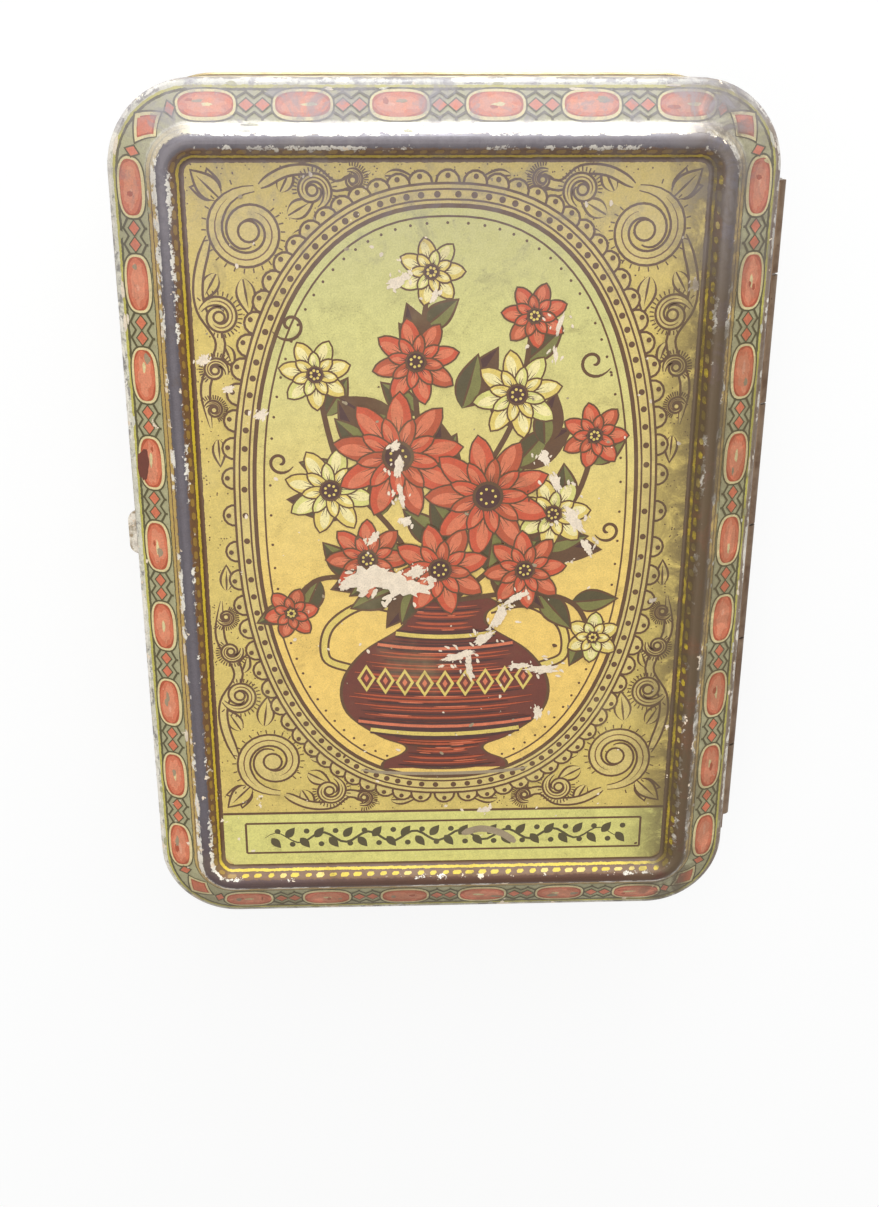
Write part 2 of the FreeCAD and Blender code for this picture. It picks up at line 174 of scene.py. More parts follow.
def ray_tester(node):
    """Make a ray tester for a CAD node."""
    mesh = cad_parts[node].data
    corners = [vertex.co.copy() for vertex in mesh.vertices]
    return BVHTree.FromPolygons(corners, [tuple(face.vertices) for face in mesh.polygons])


LID_TREE = ray_tester("lid_shell")


def lid_level(across, along):
    """Give the height of the lid's upper face at a place seen from above, in millimetres."""
    start = Vector((across * MM, along * MM, 2 * CREST * MM))
    hit = LID_TREE.ray_cast(start, Vector((0.0, 0.0, -1.0)))[0]
    if hit is None:
        raise RuntimeError(f"no lid under {across:.2f}, {along:.2f}")
    return hit.z / MM


class RoundPath:
    """Walks clockwise round the tin from the middle of its +Y side.

    Lengths are measured on the rounded outline whose corners have the given radius.
    """

    def __init__(self, radius):
        self.radius = radius
        corner = millimetres("corner_radius")
        self.across = HALF_WIDTH - corner
        self.along = HALF_LENGTH - corner
        self.bend = math.pi / 2 * radius
        self.total = 4 * (self.across + self.along + self.bend)

    def at(self, distance):
        """Give the corner-circle centre line's point and the outward direction."""
        across, along, bend = self.across, self.along, self.bend
        rest = distance % self.total
        if rest <= across:
            return Vector((rest, along)), Vector((0.0, 1.0))
        rest -= across
        legs = (
            (Vector((across, along)), Vector((0.0, 1.0)), 2 * along),
            (Vector((across, -along)), Vector((1.0, 0.0)), 2 * across),
            (Vector((-across, -along)), Vector((0.0, -1.0)), 2 * along),
            (Vector((-across, along)), Vector((-1.0, 0.0)), across),
        )
        for centre, outward, straight in legs:
            turned = Vector((outward.y, -outward.x))
            if rest <= bend:
                angle = rest / self.radius
                return centre, outward * math.cos(angle) + turned * math.sin(angle)
            rest -= bend
            if rest <= straight:
                return centre + Vector((turned.y, -turned.x)) * rest, turned
            rest -= straight
        return Vector((0.0, along)), Vector((0.0, 1.0))


def panel_place():
    """Make a placer for ink on the sunk panel, by its place seen from above."""
    level = lid_level(0.0, 0.0)

    def place(across, along, lift):
        return Vector((across, along, level + lift))

    return place


def border_place(path):
    """Make a placer for ink on the lid, by length along a path and inset from the rim."""
    corner = millimetres("corner_radius")

    def place(distance, inset, lift):
        centre, outward = path.at(distance)
        spot = centre + outward * (corner - inset)
        return Vector((spot.x, spot.y, lid_level(spot.x, spot.y) + lift))

    return place


def side_place(path):
    """Make a placer for ink on the upright faces, by length along a path and height."""
    corner = millimetres("corner_radius")

    def place(distance, height, lift):
        centre, outward = path.at(distance)
        spot = centre + outward * (corner + lift)
        return Vector((spot.x, spot.y, height))

    return place


# Outlines, in the flat coordinates of a printed face

def oval(u, v, half_u, half_v, fullness=2.0, steps=28):
    """An oval, fuller at its shoulders the larger fullness is."""
    power = 2.0 / fullness
    points = []
    for step in range(steps):
        angle = 2 * math.pi * step / steps
        cos, sin = math.cos(angle), math.sin(angle)
        points.append((
            u + half_u * math.copysign(abs(cos) ** power, cos),
            v + half_v * math.copysign(abs(sin) ** power, sin),
        ))
    return points


def moved(points, u, v, turn):
    """Turn points by an angle and move them."""
    cos, sin = math.cos(turn), math.sin(turn)
    return [(u + (a * cos - b * sin), v + a * sin + b * cos) for a, b in points]


def lozenge(u, v, half_u, half_v):
    """A lozenge round a point."""
    return [(u - half_u, v), (u, v - half_v), (u + half_u, v), (u, v + half_v)]


def petal(u, v, turn, reach, width, blunt=1.0):
    """A petal whose foot is at u, v; the smaller blunt is, the rounder its tip."""
    steps = 9
    lean = 0.8 + 0.8 * (1 - blunt)
    side = []
    for step in range(steps + 1):
        swell = abs(math.sin(math.pi * (step / steps) ** lean)) ** blunt
        side.append((reach * step / steps, width / 2 * swell))
    return moved(side + [(a, -b) for a, b in side[-2:0:-1]], u, v, turn)


def arc(u, v, radius, start, end, steps=20, squeeze=1.0):
    """Points along an arc, in degrees, with an optional squeeze of its height."""
    angles = [math.radians(start + (end - start) * step / steps) for step in range(steps + 1)]
    return [(u + radius * math.cos(a), v + squeeze * radius * math.sin(a)) for a in angles]


def spiral(u, v, outer, inner, start, turns, steps=26):
    """Points along a spiral that closes in on its eye."""
    points = []
    for step in range(steps + 1):
        share = step / steps
        radius = outer + (inner - outer) * share ** 0.75
        angle = math.radians(start) + 2 * math.pi * turns * share
        points.append((u + radius * math.cos(angle), v + radius * math.sin(angle)))
    return points


def flowing(points, steps=7):
    """Points along a smooth curve through the given ones."""
    ends = [points[0]] + list(points) + [points[-1]]
    result = []
    for before, start, end, after in zip(ends, ends[1:], ends[2:], ends[3:]):
        for step in range(steps):
            t = step / steps
            result.append(tuple(
                0.5 * (
                    2 * b + (c - a) * t + (2 * a - 5 * b + 4 * c - d) * t ** 2
                    + (3 * b - a - 3 * c + d) * t ** 3
                )
                for a, b, c, d in zip(before, start, end, after)
            ))
    return result + [tuple(points[-1])]


def ragged(u, v, reach, width, turn, chance, steps=30, rough=0.3):
    """The irregular outline of a flake, stain or worn patch."""
    points = []
    waves = [
        (count, chance.uniform(0.25, 1.0) / count ** 0.5, chance.uniform(0.0, 6.3))
        for count in (2, 3, 5, 7, 11)
    ]
    for step in range(steps):
        angle = 2 * math.pi * step / steps
        swell = sum(size * math.sin(count * angle + start) for count, size, start in waves)
        size = max(0.25, 1.0 + rough * (0.7 * swell + chance.uniform(-0.5, 0.5)))
        points.append((reach / 2 * size * math.cos(angle), width / 2 * size * math.sin(angle)))
    return moved(points, u, v, turn)


def cut_at(outline, border, keep_above):
    """Cut an outline along a line of constant u and keep one side of it."""
    kept = []
    for (u, v), (next_u, next_v) in zip(outline, outline[1:] + outline[:1]):
        inside = (u >= border) == keep_above
        next_inside = (next_u >= border) == keep_above
        if inside:
            kept.append((u, v))
        if inside != next_inside:
            share = (border - u) / (next_u - u)
            kept.append((border, v + (next_v - v) * share))
    return kept


def slices(outline, width):
    """Cut an outline at even steps along u, so that it can follow a bent face."""
    rest = outline
    border = (math.floor(min(u for u, _ in outline) / width) + 1) * width
    end = max(u for u, _ in outline)
    while border < end and len(rest) > 2:
        yield cut_at(rest, border, False)
        rest = cut_at(rest, border, True)
        border += width
    if len(rest) > 2:
        yield rest


class Stack:
    """Keeps how high the ink of one face has risen, so that each shape lies on those before it."""

    def __init__(self, clearance, layer):
        self.clearance = clearance
        self.layer = layer
        self.levels = {}

    def rise(self, outline, levels=1):
        """Keep levels over all the ink under an outline's box, and give the lowest one's height."""
        first_u, last_u = (math.floor(edge(u for u, _ in outline)) for edge in (min, max))
        first_v, last_v = (math.floor(edge(v for _, v in outline)) for edge in (min, max))
        cells = [
            (i, j) for i in range(first_u, last_u + 1) for j in range(first_v, last_v + 1)
        ]
        level = max(self.levels.get(cell, 0) for cell in cells)
        self.levels.update((cell, level + levels) for cell in cells)
        return self.height(level + 1)

    def height(self, level):
        """Give the height of a level above the face."""
        return self.clearance + self.layer * level


STACKS = {}


def face_stack(face):
    """Give the stack of inks on a face of the tin; bent faces need thicker layers."""
    if face == "panel":
        return STACKS.setdefault(face, Stack(FLAT_CLEARANCE, FLAT_LAYER))
    return STACKS.setdefault(face, Stack(BENT_CLEARANCE, BENT_LAYER))


class Print:
    """Flat shapes of ink on one face of the tin, each laid over those drawn before it."""

    def __init__(self, place, stack, slice_width=None):
        self.place = place
        self.stack = stack
        self.slice_width = slice_width
        self.points = []
        self.faces = []
        self.face_inks = []

    def shape(self, outline, ink, lift=None):
        """Fill an outline with an ink."""
        if lift is None:
            lift = self.stack.rise(outline)
        parts = slices(outline, self.slice_width) if self.slice_width else (outline,)
        for part in parts:
            first = len(self.points)
            self.points.extend(self.place(u, v, lift) for u, v in part)
            self.faces.append(list(range(first, len(self.points))))
            self.face_inks.append(ink)

    def nested(self, *shapes, lift=None):
        """Fill outlines that lie one inside another; shapes are (outline, ink), largest first.

        Gives the height for lines that are drawn inside the smallest one.
        """
        if lift is None:
            lift = self.stack.rise(shapes[0][0], len(shapes) + 1)
        for index, (outline, ink) in enumerate(shapes):
            self.shape(outline, ink, lift + self.stack.layer * index)
        return lift + self.stack.layer * len(shapes)

    def line(self, path, width, ink, lift=None, start=1.0, end=1.0):
        """Draw a line along a path; start and end are its share of the width at its ends."""
        sides = []
        last = len(path) - 1
        for index, (u, v) in enumerate(path):
            before, after = path[max(index - 1, 0)], path[min(index + 1, last)]
            along_u, along_v = after[0] - before[0], after[1] - before[1]
            size = math.hypot(along_u, along_v) or 1.0
            share = index / last
            half = width / 2 * min(1.0, start + 5 * share, end + 5 * (1 - share))
            side_u, side_v = -along_v / size * half, along_u / size * half
            sides += [(u + side_u, v + side_v), (u - side_u, v - side_v)]
        if lift is None:
            lift = self.stack.rise(sides)
        first = len(self.points)
        self.points.extend(self.place(u, v, lift) for u, v in sides)
        for corner in range(first, first + 2 * last, 2):
            self.faces.append([corner, corner + 1, corner + 3, corner + 2])
            self.face_inks.append(ink)

    def ring(self, outline, width, ink):
        """Draw a line round a closed outline."""
        self.line(outline + outline[:1], width, ink)

    def bands(self, paths, width, ink, edge, start=1.0, end=1.0):
        """Draw broad lines with dark edges, which flow into one another where they meet."""
        for path in paths:
            self.line(path, width, edge, None, start, end)
        for path in paths:
            self.line(path, width - 2 * millimetres("fine_line"), ink, None, start, end)

    def leaf(self, place, turn, reach, width, ink, dark):
        """Draw a leaf with a dark outline, one shaded half and a vein; turn is in degrees."""
        heading = math.radians(turn)
        fine = millimetres("fine_line")
        edge = petal(*place, heading, reach + 0.4, width + 2 * fine)
        blade = petal(*place, heading, reach, width)
        half = blade[:len(blade) // 2 + 1]
        lift = self.nested((edge, "umber"), (blade, ink), (half, dark))
        vein = [
            (place[0] + reach * share * math.cos(heading),
             place[1] + reach * share * math.sin(heading))
            for share in (0.05, 0.45, 0.85)
        ]
        self.line(vein, fine, "umber", lift, 0.6, 0.1)

    def vine(self, path, reach, inks, every, spread, taper):
        """Draw leaves on alternate sides of a path, smaller towards its end."""
        for index in range(every, len(path) - 1, every):
            share = index / len(path)
            (u, v), (next_u, next_v) = path[index], path[index + 1]
            along = math.degrees(math.atan2(next_v - v, next_u - u))
            side = 1 if (index // every) % 2 else -1
            size = reach * (1 - taper * share)
            self.leaf((u, v), along + side * spread, size, 0.46 * size, *inks)

    def build(self, name, body, upright=False):
        """Make the object, facing outwards, riding on a body."""
        mesh = bpy.data.meshes.new(name)
        mesh.from_pydata([point * MM for point in self.points], [], self.faces)
        inks = sorted(set(self.face_inks))
        for ink in inks:
            mesh.materials.append(ink_material(ink))
        for face, ink in zip(mesh.polygons, self.face_inks):
            face.material_index = inks.index(ink)
            outward = Vector((*face.center.xy, 0.0)) if upright else Vector((0.0, 0.0, 1.0))
            if face.normal.dot(outward) < 0:
                face.flip()
        mesh.update()
        piece = bpy.data.objects.new(name, mesh)
        bpy.context.scene.collection.objects.link(piece)
        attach(piece, body)
        return piece


# Node wiring

class Wiring:
    """Short calls for the nodes of one tree."""

    def __init__(self, tree):
        self.tree = tree
        self.links = tree.links

    def node(self, kind, **settings):
        """Add a node of a kind, with its settings."""
        made = self.tree.nodes.new("ShaderNode" + kind)
        for name, value in settings.items():
            setattr(made, name, value)
        return made

    def feed(self, socket, value):
        """Link a socket, or set it to a plain value."""
        if isinstance(value, bpy.types.NodeSocket):
            self.links.new(value, socket)
        else:
            socket.default_value = value

    def math(self, operation, first, second=None, clamp=False):
        """Work out one or two values."""
        made = self.node("Math", operation=operation, use_clamp=clamp)
        self.feed(made.inputs[0], first)
        if second is not None:
            self.feed(made.inputs[1], second)
        return made.outputs[0]

    def times(self, first, *others):
        """Multiply values."""
        for value in others:
            first = self.math("MULTIPLY", first, value)
        return first

    def largest(self, first, *others):
        """Give the largest of some values."""
        for value in others:
            first = self.math("MAXIMUM", first, value)
        return first

    def mix(self, share, first, second):
        """Mix two colours."""
        made = self.node("Mix", data_type="RGBA")
        self.feed(made.inputs[0], share)
        self.feed(made.inputs[6], first)
        self.feed(made.inputs[7], second)
        return made.outputs[2]

    def blend(self, share, first, second):
        """Mix two values."""
        made = self.node("Mix", data_type="FLOAT")
        self.feed(made.inputs[0], share)
        self.feed(made.inputs[2], first)
        self.feed(made.inputs[3], second)
        return made.outputs[0]

    def ramp_up(self, value, low, high, to_low=0.0, to_high=1.0):
        """Map a value from one range to another, held at its ends."""
        made = self.node("MapRange", interpolation_type="SMOOTHSTEP")
        self.feed(made.inputs["Value"], value)
        made.inputs["From Min"].default_value = low
        made.inputs["From Max"].default_value = high
        made.inputs["To Min"].default_value = to_low
        made.inputs["To Max"].default_value = to_high
        return made.outputs["Result"]

    def nearness(self, value, middle, far, close, most=1.0):
        """Rise from 0 to most as a value comes from far off a middle to close by it."""
        away = self.math("ABSOLUTE", self.math("SUBTRACT", value, middle))
        return self.ramp_up(away, far, close, 0.0, most)

    def place(self):
        """Give the object's coordinates in millimetres, as a vector."""
        made = self.node("VectorMath", operation="SCALE")
        self.links.new(self.node("TexCoord").outputs["Object"], made.inputs[0])
        made.inputs["Scale"].default_value = 1 / MM
        return made.outputs[0]

    def parts(self, vector):
        """Split a vector into x, y and z."""
        made = self.node("SeparateXYZ")
        self.links.new(vector, made.inputs[0])
        return made.outputs

    def noise(self, vector, scale, detail=3.0, roughness=0.55, distortion=0.0):
        """Give a noise from 0 to 1; scale is in waves for each millimetre."""
        made = self.node("TexNoise")
        self.links.new(vector, made.inputs["Vector"])
        made.inputs["Scale"].default_value = scale
        made.inputs["Detail"].default_value = detail
        made.inputs["Roughness"].default_value = roughness
        made.inputs["Distortion"].default_value = distortion
        return made.outputs["Fac"]

    def stripes(self, value, reach, stops):
        """Give the ink at a distance: stops are (from this distance, ink)."""
        made = self.node("ValToRGB")
        ramp = made.color_ramp
        ramp.interpolation = "CONSTANT"
        ramp.elements[0].position = 0.0
        ramp.elements[0].color = shown_ink(stops[0][1])
        ramp.elements[1].position = stops[1][0] / reach
        ramp.elements[1].color = shown_ink(stops[1][1])
        for start, ink in stops[2:]:
            ramp.elements.new(start / reach).color = shown_ink(ink)
        self.links.new(self.math("DIVIDE", value, reach), made.inputs[0])
        return made.outputs[0]


AGED_OUTPUTS = (
    ("Color", "NodeSocketColor"), ("Roughness", "NodeSocketFloat"), ("Height", "NodeSocketFloat"),
)


def group_tree(name, inputs, outputs):
    """Make an empty shader group with named sockets."""
    tree = bpy.data.node_groups.new(name, "ShaderNodeTree")
    for label, kind, value in inputs:
        socket = tree.interface.new_socket(name=label, in_out="INPUT", socket_type=kind)
        socket.default_value = value
    for label, kind in outputs:
        tree.interface.new_socket(name=label, in_out="OUTPUT", socket_type=kind)
    wiring = Wiring(tree)
    return tree, wiring, tree.nodes.new("NodeGroupInput"), tree.nodes.new("NodeGroupOutput")


def make_rim_distance():
    """Group that gives the distance inwards from the lid's outer face, in millimetres."""
    tree, w, _, out = group_tree("rim_distance", (), (("Inset", "NodeSocketFloat"),))
    corner = millimetres("corner_radius")
    x, y, _ = w.parts(w.place())
    over_x = w.math("SUBTRACT", w.math("ABSOLUTE", x), HALF_WIDTH - corner)
    over_y = w.math("SUBTRACT", w.math("ABSOLUTE", y), HALF_LENGTH - corner)
    square_x = w.math("POWER", w.largest(over_x, 0.0), 2.0)
    square_y = w.math("POWER", w.largest(over_y, 0.0), 2.0)
    round_part = w.math("SQRT", w.math("ADD", square_x, square_y))
    flat_part = w.math("MINIMUM", w.largest(over_x, over_y), 0.0)
    w.feed(out.inputs["Inset"], w.math(
        "SUBTRACT", corner, w.math("ADD", round_part, flat_part)
    ))
    return tree


def soil_and_sheen(w, spot, mottle, dirt, inked):
    """Lay grime over a print where hands have worn it, and a painted grey reflection in patches on
    its +Y side.
    """
    x, y, _ = w.parts(spot)
    right = w.times(w.ramp_up(x, 24.0, 34.0), w.ramp_up(x, 38.0, 35.5, 0.4, 1.0))
    handled = w.largest(right, w.ramp_up(y, -50.0, -58.0, 0.0, 0.5))
    smudge = w.times(handled, w.ramp_up(dirt, 0.32, 0.56, 0.0, 0.9))
    soil = w.largest(w.ramp_up(dirt, 0.52, 0.80, 0.0, 0.42), smudge)
    # Painted reflection: a grey sheen from the bright +Y surroundings, strongest at the +Y edge and
    # fading over the panel's top.
    glare = w.largest(w.ramp_up(y, 51.0, 55.0), w.ramp_up(y, 28.0, 46.0, 0.0, 0.5))
    blotch = w.largest(
        w.ramp_up(mottle, 0.2, 0.7, 0.25, 0.6), w.ramp_up(dirt, 0.38, 0.62, 0.0, 0.8)
    )
    grimy = w.mix(soil, inked, shown_ink("grime"))
    return w.mix(w.times(glare, blotch), grimy, shown_ink("painted_sheen"))


def make_old_print():
    """Group that ages a printed colour: grain, printer's dots, grime, faded patches, flakes, and a
    painted grey reflection on its +Y side.
    """
    tree, w, given, out = group_tree(
        "aged_print_and_sheen",
        (
            ("Ink", "NodeSocketColor", (0.5, 0.5, 0.5, 1.0)),
            ("Wear", "NodeSocketFloat", 0.0),
        ),
        AGED_OUTPUTS,
    )
    spot = w.place()
    grain = w.noise(spot, 5.0, 3.0, 0.65)
    mottle = w.noise(spot, 0.9, 4.0, 0.6)
    patch = w.noise(spot, 0.07, 5.0, 0.6)
    dirt = w.noise(spot, 0.22, 6.0, 0.7, 0.6)
    flake = w.noise(spot, 0.62, 5.0, 0.62)
    rare = w.noise(spot, 0.045, 2.0, 0.5)
    toned = w.node("VectorMath", operation="SCALE")
    w.links.new(given.outputs["Ink"], toned.inputs[0])
    w.feed(toned.inputs["Scale"], w.times(
        w.ramp_up(grain, 0.25, 0.75, 0.84, 1.10), w.ramp_up(mottle, 0.3, 0.7, 0.92, 1.05)
    ))
    screen = w.node("TexVoronoi")
    w.links.new(spot, screen.inputs["Vector"])
    screen.inputs["Scale"].default_value = 2.7
    dots = w.times(
        w.ramp_up(screen.outputs["Distance"], 0.26, 0.16), w.ramp_up(dirt, 0.42, 0.62, 0.0, 0.34)
    )
    dotted = w.mix(dots, toned.outputs[0], shown_ink("umber"))
    faded = w.mix(w.ramp_up(patch, 0.55, 0.78, 0.0, 0.16), dotted, shown_ink("cream"))
    grime_and_sheen = soil_and_sheen(w, spot, mottle, dirt, faded)
    worn = w.math("ADD", flake, w.times(given.outputs["Wear"], 0.22))
    reach = w.math("ADD", worn, w.times(w.math("SUBTRACT", rare, 0.5), 0.35))
    bald = w.ramp_up(reach, 0.725, 0.745)
    w.feed(out.inputs["Color"], w.mix(bald, grime_and_sheen, shown_ink("primer")))
    w.feed(out.inputs["Roughness"], w.blend(bald, w.ramp_up(dirt, 0.3, 0.8, 0.34, 0.58), 0.75))
    w.feed(out.inputs["Height"], w.math("ADD", w.times(bald, -0.6), w.times(grain, 0.12)))
    return tree


def make_tarnish():
    """Group that gives the colour and roughness of old bare tinplate."""
    tree, w, given, out = group_tree(
        "tarnish",
        (
            ("Metal", "NodeSocketColor", (0.5, 0.5, 0.5, 1.0)),
            ("Stain", "NodeSocketColor", (0.1, 0.06, 0.04, 1.0)),
            ("Age", "NodeSocketFloat", 0.5),
        ),
        AGED_OUTPUTS,
    )
    spot = w.place()
    age = given.outputs["Age"]
    cloud = w.noise(spot, 0.16, 6.0, 0.68, 0.4)
    speck = w.noise(spot, 1.9, 4.0, 0.7)
    scratch = w.node("Mapping")
    w.links.new(spot, scratch.inputs["Vector"])
    scratch.inputs["Scale"].default_value = (3.2, 0.22, 3.2)
    brushed = w.noise(scratch.outputs[0], 1.6, 3.0, 0.6)
    spread = w.times(w.ramp_up(cloud, 0.32, 0.72), age)
    spots = w.times(w.ramp_up(speck, 0.58, 0.68), age)
    share = w.math("MAXIMUM", spread, spots, clamp=True)
    w.feed(out.inputs["Color"], w.mix(share, given.outputs["Metal"], given.outputs["Stain"]))
    w.feed(out.inputs["Roughness"], w.math("ADD", w.times(brushed, 0.25), w.times(share, 0.25)))
    w.feed(out.inputs["Height"], w.math("ADD", w.times(brushed, 0.3), w.times(speck, 0.4)))
    return tree


def shared_group(name):
    """Give a shared group, made the first time that it is asked for."""
    makers = {
        "rim_distance": make_rim_distance,
        "aged_print_and_sheen": make_old_print,
        "tarnish": make_tarnish,
    }
    return bpy.data.node_groups.get(name) or makers[name]()


BUMP_DEPTH = 0.05
PRINT_GLOSS = 0.45


def new_material(name):
    """Start a material, and give its wiring and its surface shader."""
    material = bpy.data.materials.new(name)
    material.use_nodes = True
    w = Wiring(material.node_tree)
    return material, w, material.node_tree.nodes["Principled BSDF"]


def placed_group(w, name, **values):
    """Place a shared group in a material."""
    made = w.node("Group")
    made.node_tree = shared_group(name)
    for label, value in values.items():
        w.feed(made.inputs[label], value)
    return made.outputs


def bump(w, height, strength):
    """Give a normal that follows a height, for grain too fine to model."""
    made = w.node("Bump")
    made.inputs["Strength"].default_value = strength
    made.inputs["Distance"].default_value = BUMP_DEPTH * MM
    w.links.new(height, made.inputs["Height"])
    return made.outputs["Normal"]


def ink_material(ink):
    """The finish of one printed ink, made once."""
    name = "ink_" + ink
    if name in bpy.data.materials:
        return bpy.data.materials[name]
    material, w, shader = new_material(name)
    if ink == "field":
        _, y, _ = w.parts(w.place())
        inked = w.mix(w.ramp_up(y, -16.0, 34.0), shown_ink("peach"), shown_ink("sky"))
    else:
        inked = shown_ink(ink)
    aged = placed_group(w, "aged_print_and_sheen", Ink=inked)
    w.feed(shader.inputs["Base Color"], aged["Color"])
    w.feed(shader.inputs["Roughness"], aged["Roughness"])
    w.feed(shader.inputs["Normal"], bump(w, aged["Height"], 0.35))
    shader.inputs["Specular IOR Level"].default_value = PRINT_GLOSS
    return material


def outside_mask(w, centre):
    """Tell the faces that look away from a centre in millimetres from those that look to it."""
    coordinates = w.node("TexCoord")
    away = w.node("VectorMath", operation="SUBTRACT")
    w.links.new(w.place(), away.inputs[0])
    away.inputs[1].default_value = centre
    facing = w.node("VectorMath", operation="DOT_PRODUCT")
    w.links.new(coordinates.outputs["Normal"], facing.inputs[0])
    w.links.new(away.outputs[0], facing.inputs[1])
    return w.math("GREATER_THAN", facing.outputs["Value"], 0.0)


# Where each ink starts, in millimetres: on the lid from the rim inwards, on the skirt from its
# foot up, on the wall from the bottom's seam up. The reach is where each scale ends.
LID_REACH, WALL_REACH = 12.0, 20.0
LID_STRIPES = (
    (0.0, "scuff"), (0.1, "silver"), (0.84, "lemon"), (1.16, "moss"), (1.5, "ground"),
    (5.05, "moss"), (5.2, "gold"), (5.62, "umber"), (5.76, "gold"), (6.2, "umber"),
    (6.36, "bare"), (7.9, "rope"), (8.76, "umber"), (8.84, "sulphur"), (9.14, "umber"),
    (9.72, "ochre"),
)
SKIRT_STRIPES = (
    (0.0, "umber"), (0.35, "gold"), (0.75, "moss"), (0.95, "ground"),
    (3.95, "moss"), (4.15, "lemon"), (4.6, "silver"),
)
WALL_STRIPES = (
    (0.0, "umber"), (0.5, "gold"), (1.0, "umber"), (1.2, "ochre"),
    (13.6, "umber"), (13.8, "gold"), (14.3, "umber"), (14.7, "rope"),
)
WALL_PRINT_FOOT = 2.9


def wandering(w, value, spread):
    """Let a printed edge wander a little, as worn litho lines do."""
    drift = w.math("SUBTRACT", w.noise(w.place(), 1.4, 3.0, 0.7), 0.5)
    return w.math("ADD", value, w.times(drift, spread))


def stained_rim(w, inset):
    """The lid's stripes, with dark patches along the rim's edge, browned at +X, and a rubbed thumb
    lip.
    """
    spot = w.place()
    x, _, z = w.parts(spot)
    top = w.stripes(wandering(w, inset, 0.34), LID_REACH, LID_STRIPES)
    above_foot = w.math("SUBTRACT", z, SKIRT_FOOT)
    skirt = w.stripes(wandering(w, above_foot, 0.2), LID_REACH, SKIRT_STRIPES)
    printed = w.mix(w.math("LESS_THAN", z, RIM_LEVEL - 0.9), top, skirt)
    # The rim's rounded edge is made darker in patches with the bare ink.
    dark_rim_patches = w.times(
        w.nearness(z, RIM_LEVEL - 0.6, 1.3, 0.9), w.ramp_up(inset, 0.9, 0.7),
        w.ramp_up(w.noise(spot, 0.42, 5.0, 0.7), 0.50, 0.60, 0.0, 0.7),
    )
    printed = w.mix(dark_rim_patches, printed, shown_ink("bare"))
    browned = w.times(w.ramp_up(inset, 1.0, 0.7), w.ramp_up(x, 36.0, 41.0, 0.0, 0.8))
    printed = w.mix(browned, printed, shown_ink("rust"))
    rubbed = w.ramp_up(w.noise(spot, 0.8, 4.0), 0.4, 0.6)
    lip = w.mix(rubbed, shown_ink("chip"), shown_ink("scuff"))
    return w.mix(w.math("LESS_THAN", x, -HALF_WIDTH - 0.05), printed, lip)


def chipped_edges(w, inset):
    """How near the rim or an edge of the crest a place is, and whether its ink has chipped off."""
    spot = w.place()
    _, y, _ = w.parts(spot)
    torn = w.times(
        w.noise(spot, 0.55, 6.0, 0.72), w.ramp_up(w.noise(spot, 0.07, 2.0), 0.35, 0.65, 0.8, 1.14)
    )
    near = w.largest(
        w.nearness(inset, 6.2, 0.8, 0.25, 1.06),
        w.times(
            w.nearness(wandering(w, inset, 1.5), 8.0, 0.6, 0.15),
            w.ramp_up(y, -50.0, -46.0, 0.88, 1.0),
        ),
        w.ramp_up(inset, 1.15, 0.35, 0.0, 1.08),
    )
    return near, w.ramp_up(w.times(near, torn), 0.50, 0.53)


def finish_sheet(w, shader, inked, aged, age, rougher, relief):
    """Wire old print where the mask is 1 and tarnished lacquer of an age elsewhere."""
    tarnished = placed_group(
        w, "tarnish", Metal=shown_ink("lacquer"), Stain=shown_ink("grime"), Age=age
    )
    roughness = w.math("ADD", tarnished["Roughness"], rougher)
    w.feed(shader.inputs["Base Color"], w.mix(inked, tarnished["Color"], aged["Color"]))
    w.feed(shader.inputs["Roughness"], w.blend(inked, roughness, aged["Roughness"]))
    w.feed(shader.inputs["Normal"], bump(w, aged["Height"], relief))


def lid_finish():
    """Printed outside and lacquered inside of the lid, with a painted highlight on the moulding's
    +Y slope.
    """
    material, w, shader = new_material("lithographed_lid")
    inset = placed_group(w, "rim_distance")["Inset"]
    x, y, _ = w.parts(w.place())
    near, chipped = chipped_edges(w, inset)
    crest = w.times(
        w.ramp_up(wandering(w, inset, 1.5), 6.25, 6.4),
        w.ramp_up(wandering(w, inset, 0.9), 8.05, 7.9),
    )
    turned = w.math("SUBTRACT", w.math("DIVIDE", x, HALF_WIDTH), w.math("DIVIDE", y, HALF_LENGTH))
    metal = w.mix(w.ramp_up(turned, 0.0, 0.85), shown_ink("bare"), shown_ink("rust"))
    metal = w.mix(w.ramp_up(y, -40.0, -50.0, 0.0, 0.6), metal, shown_ink("wine"))
    # Painted highlight: silver ink and more metal on the moulding's outer slope along the +Y side
    # stand in for the white glare there, over what is partly worn bare tin.
    top_slope_highlight = w.times(
        w.ramp_up(wandering(w, inset, 0.8), 4.7, 5.1), w.ramp_up(inset, 6.5, 6.2),
        w.ramp_up(wandering(w, y, 6.0), 44.0, 54.0),
    )
    # The rim's print, with the painted highlight of the +Y slope mixed in.
    rubbed = w.mix(w.times(top_slope_highlight, 0.75), stained_rim(w, inset), shown_ink("silver"))
    flaked = w.mix(chipped, w.mix(crest, rubbed, metal), shown_ink("chip"))
    aged = placed_group(w, "aged_print_and_sheen", Ink=flaked, Wear=w.times(near, 0.35))
    outside = outside_mask(w, (0.0, 0.0, -100.0))
    finish_sheet(w, shader, outside, aged, 0.45, 0.3, 0.4)
    solid_crest = w.times(crest, w.math("SUBTRACT", 1.0, chipped))
    shown_metal = w.largest(w.times(solid_crest, 0.25), w.times(top_slope_highlight, 0.6))
    w.feed(shader.inputs["Metallic"], w.blend(outside, 0.6, shown_metal))
    shader.inputs["Specular IOR Level"].default_value = PRINT_GLOSS
    return material


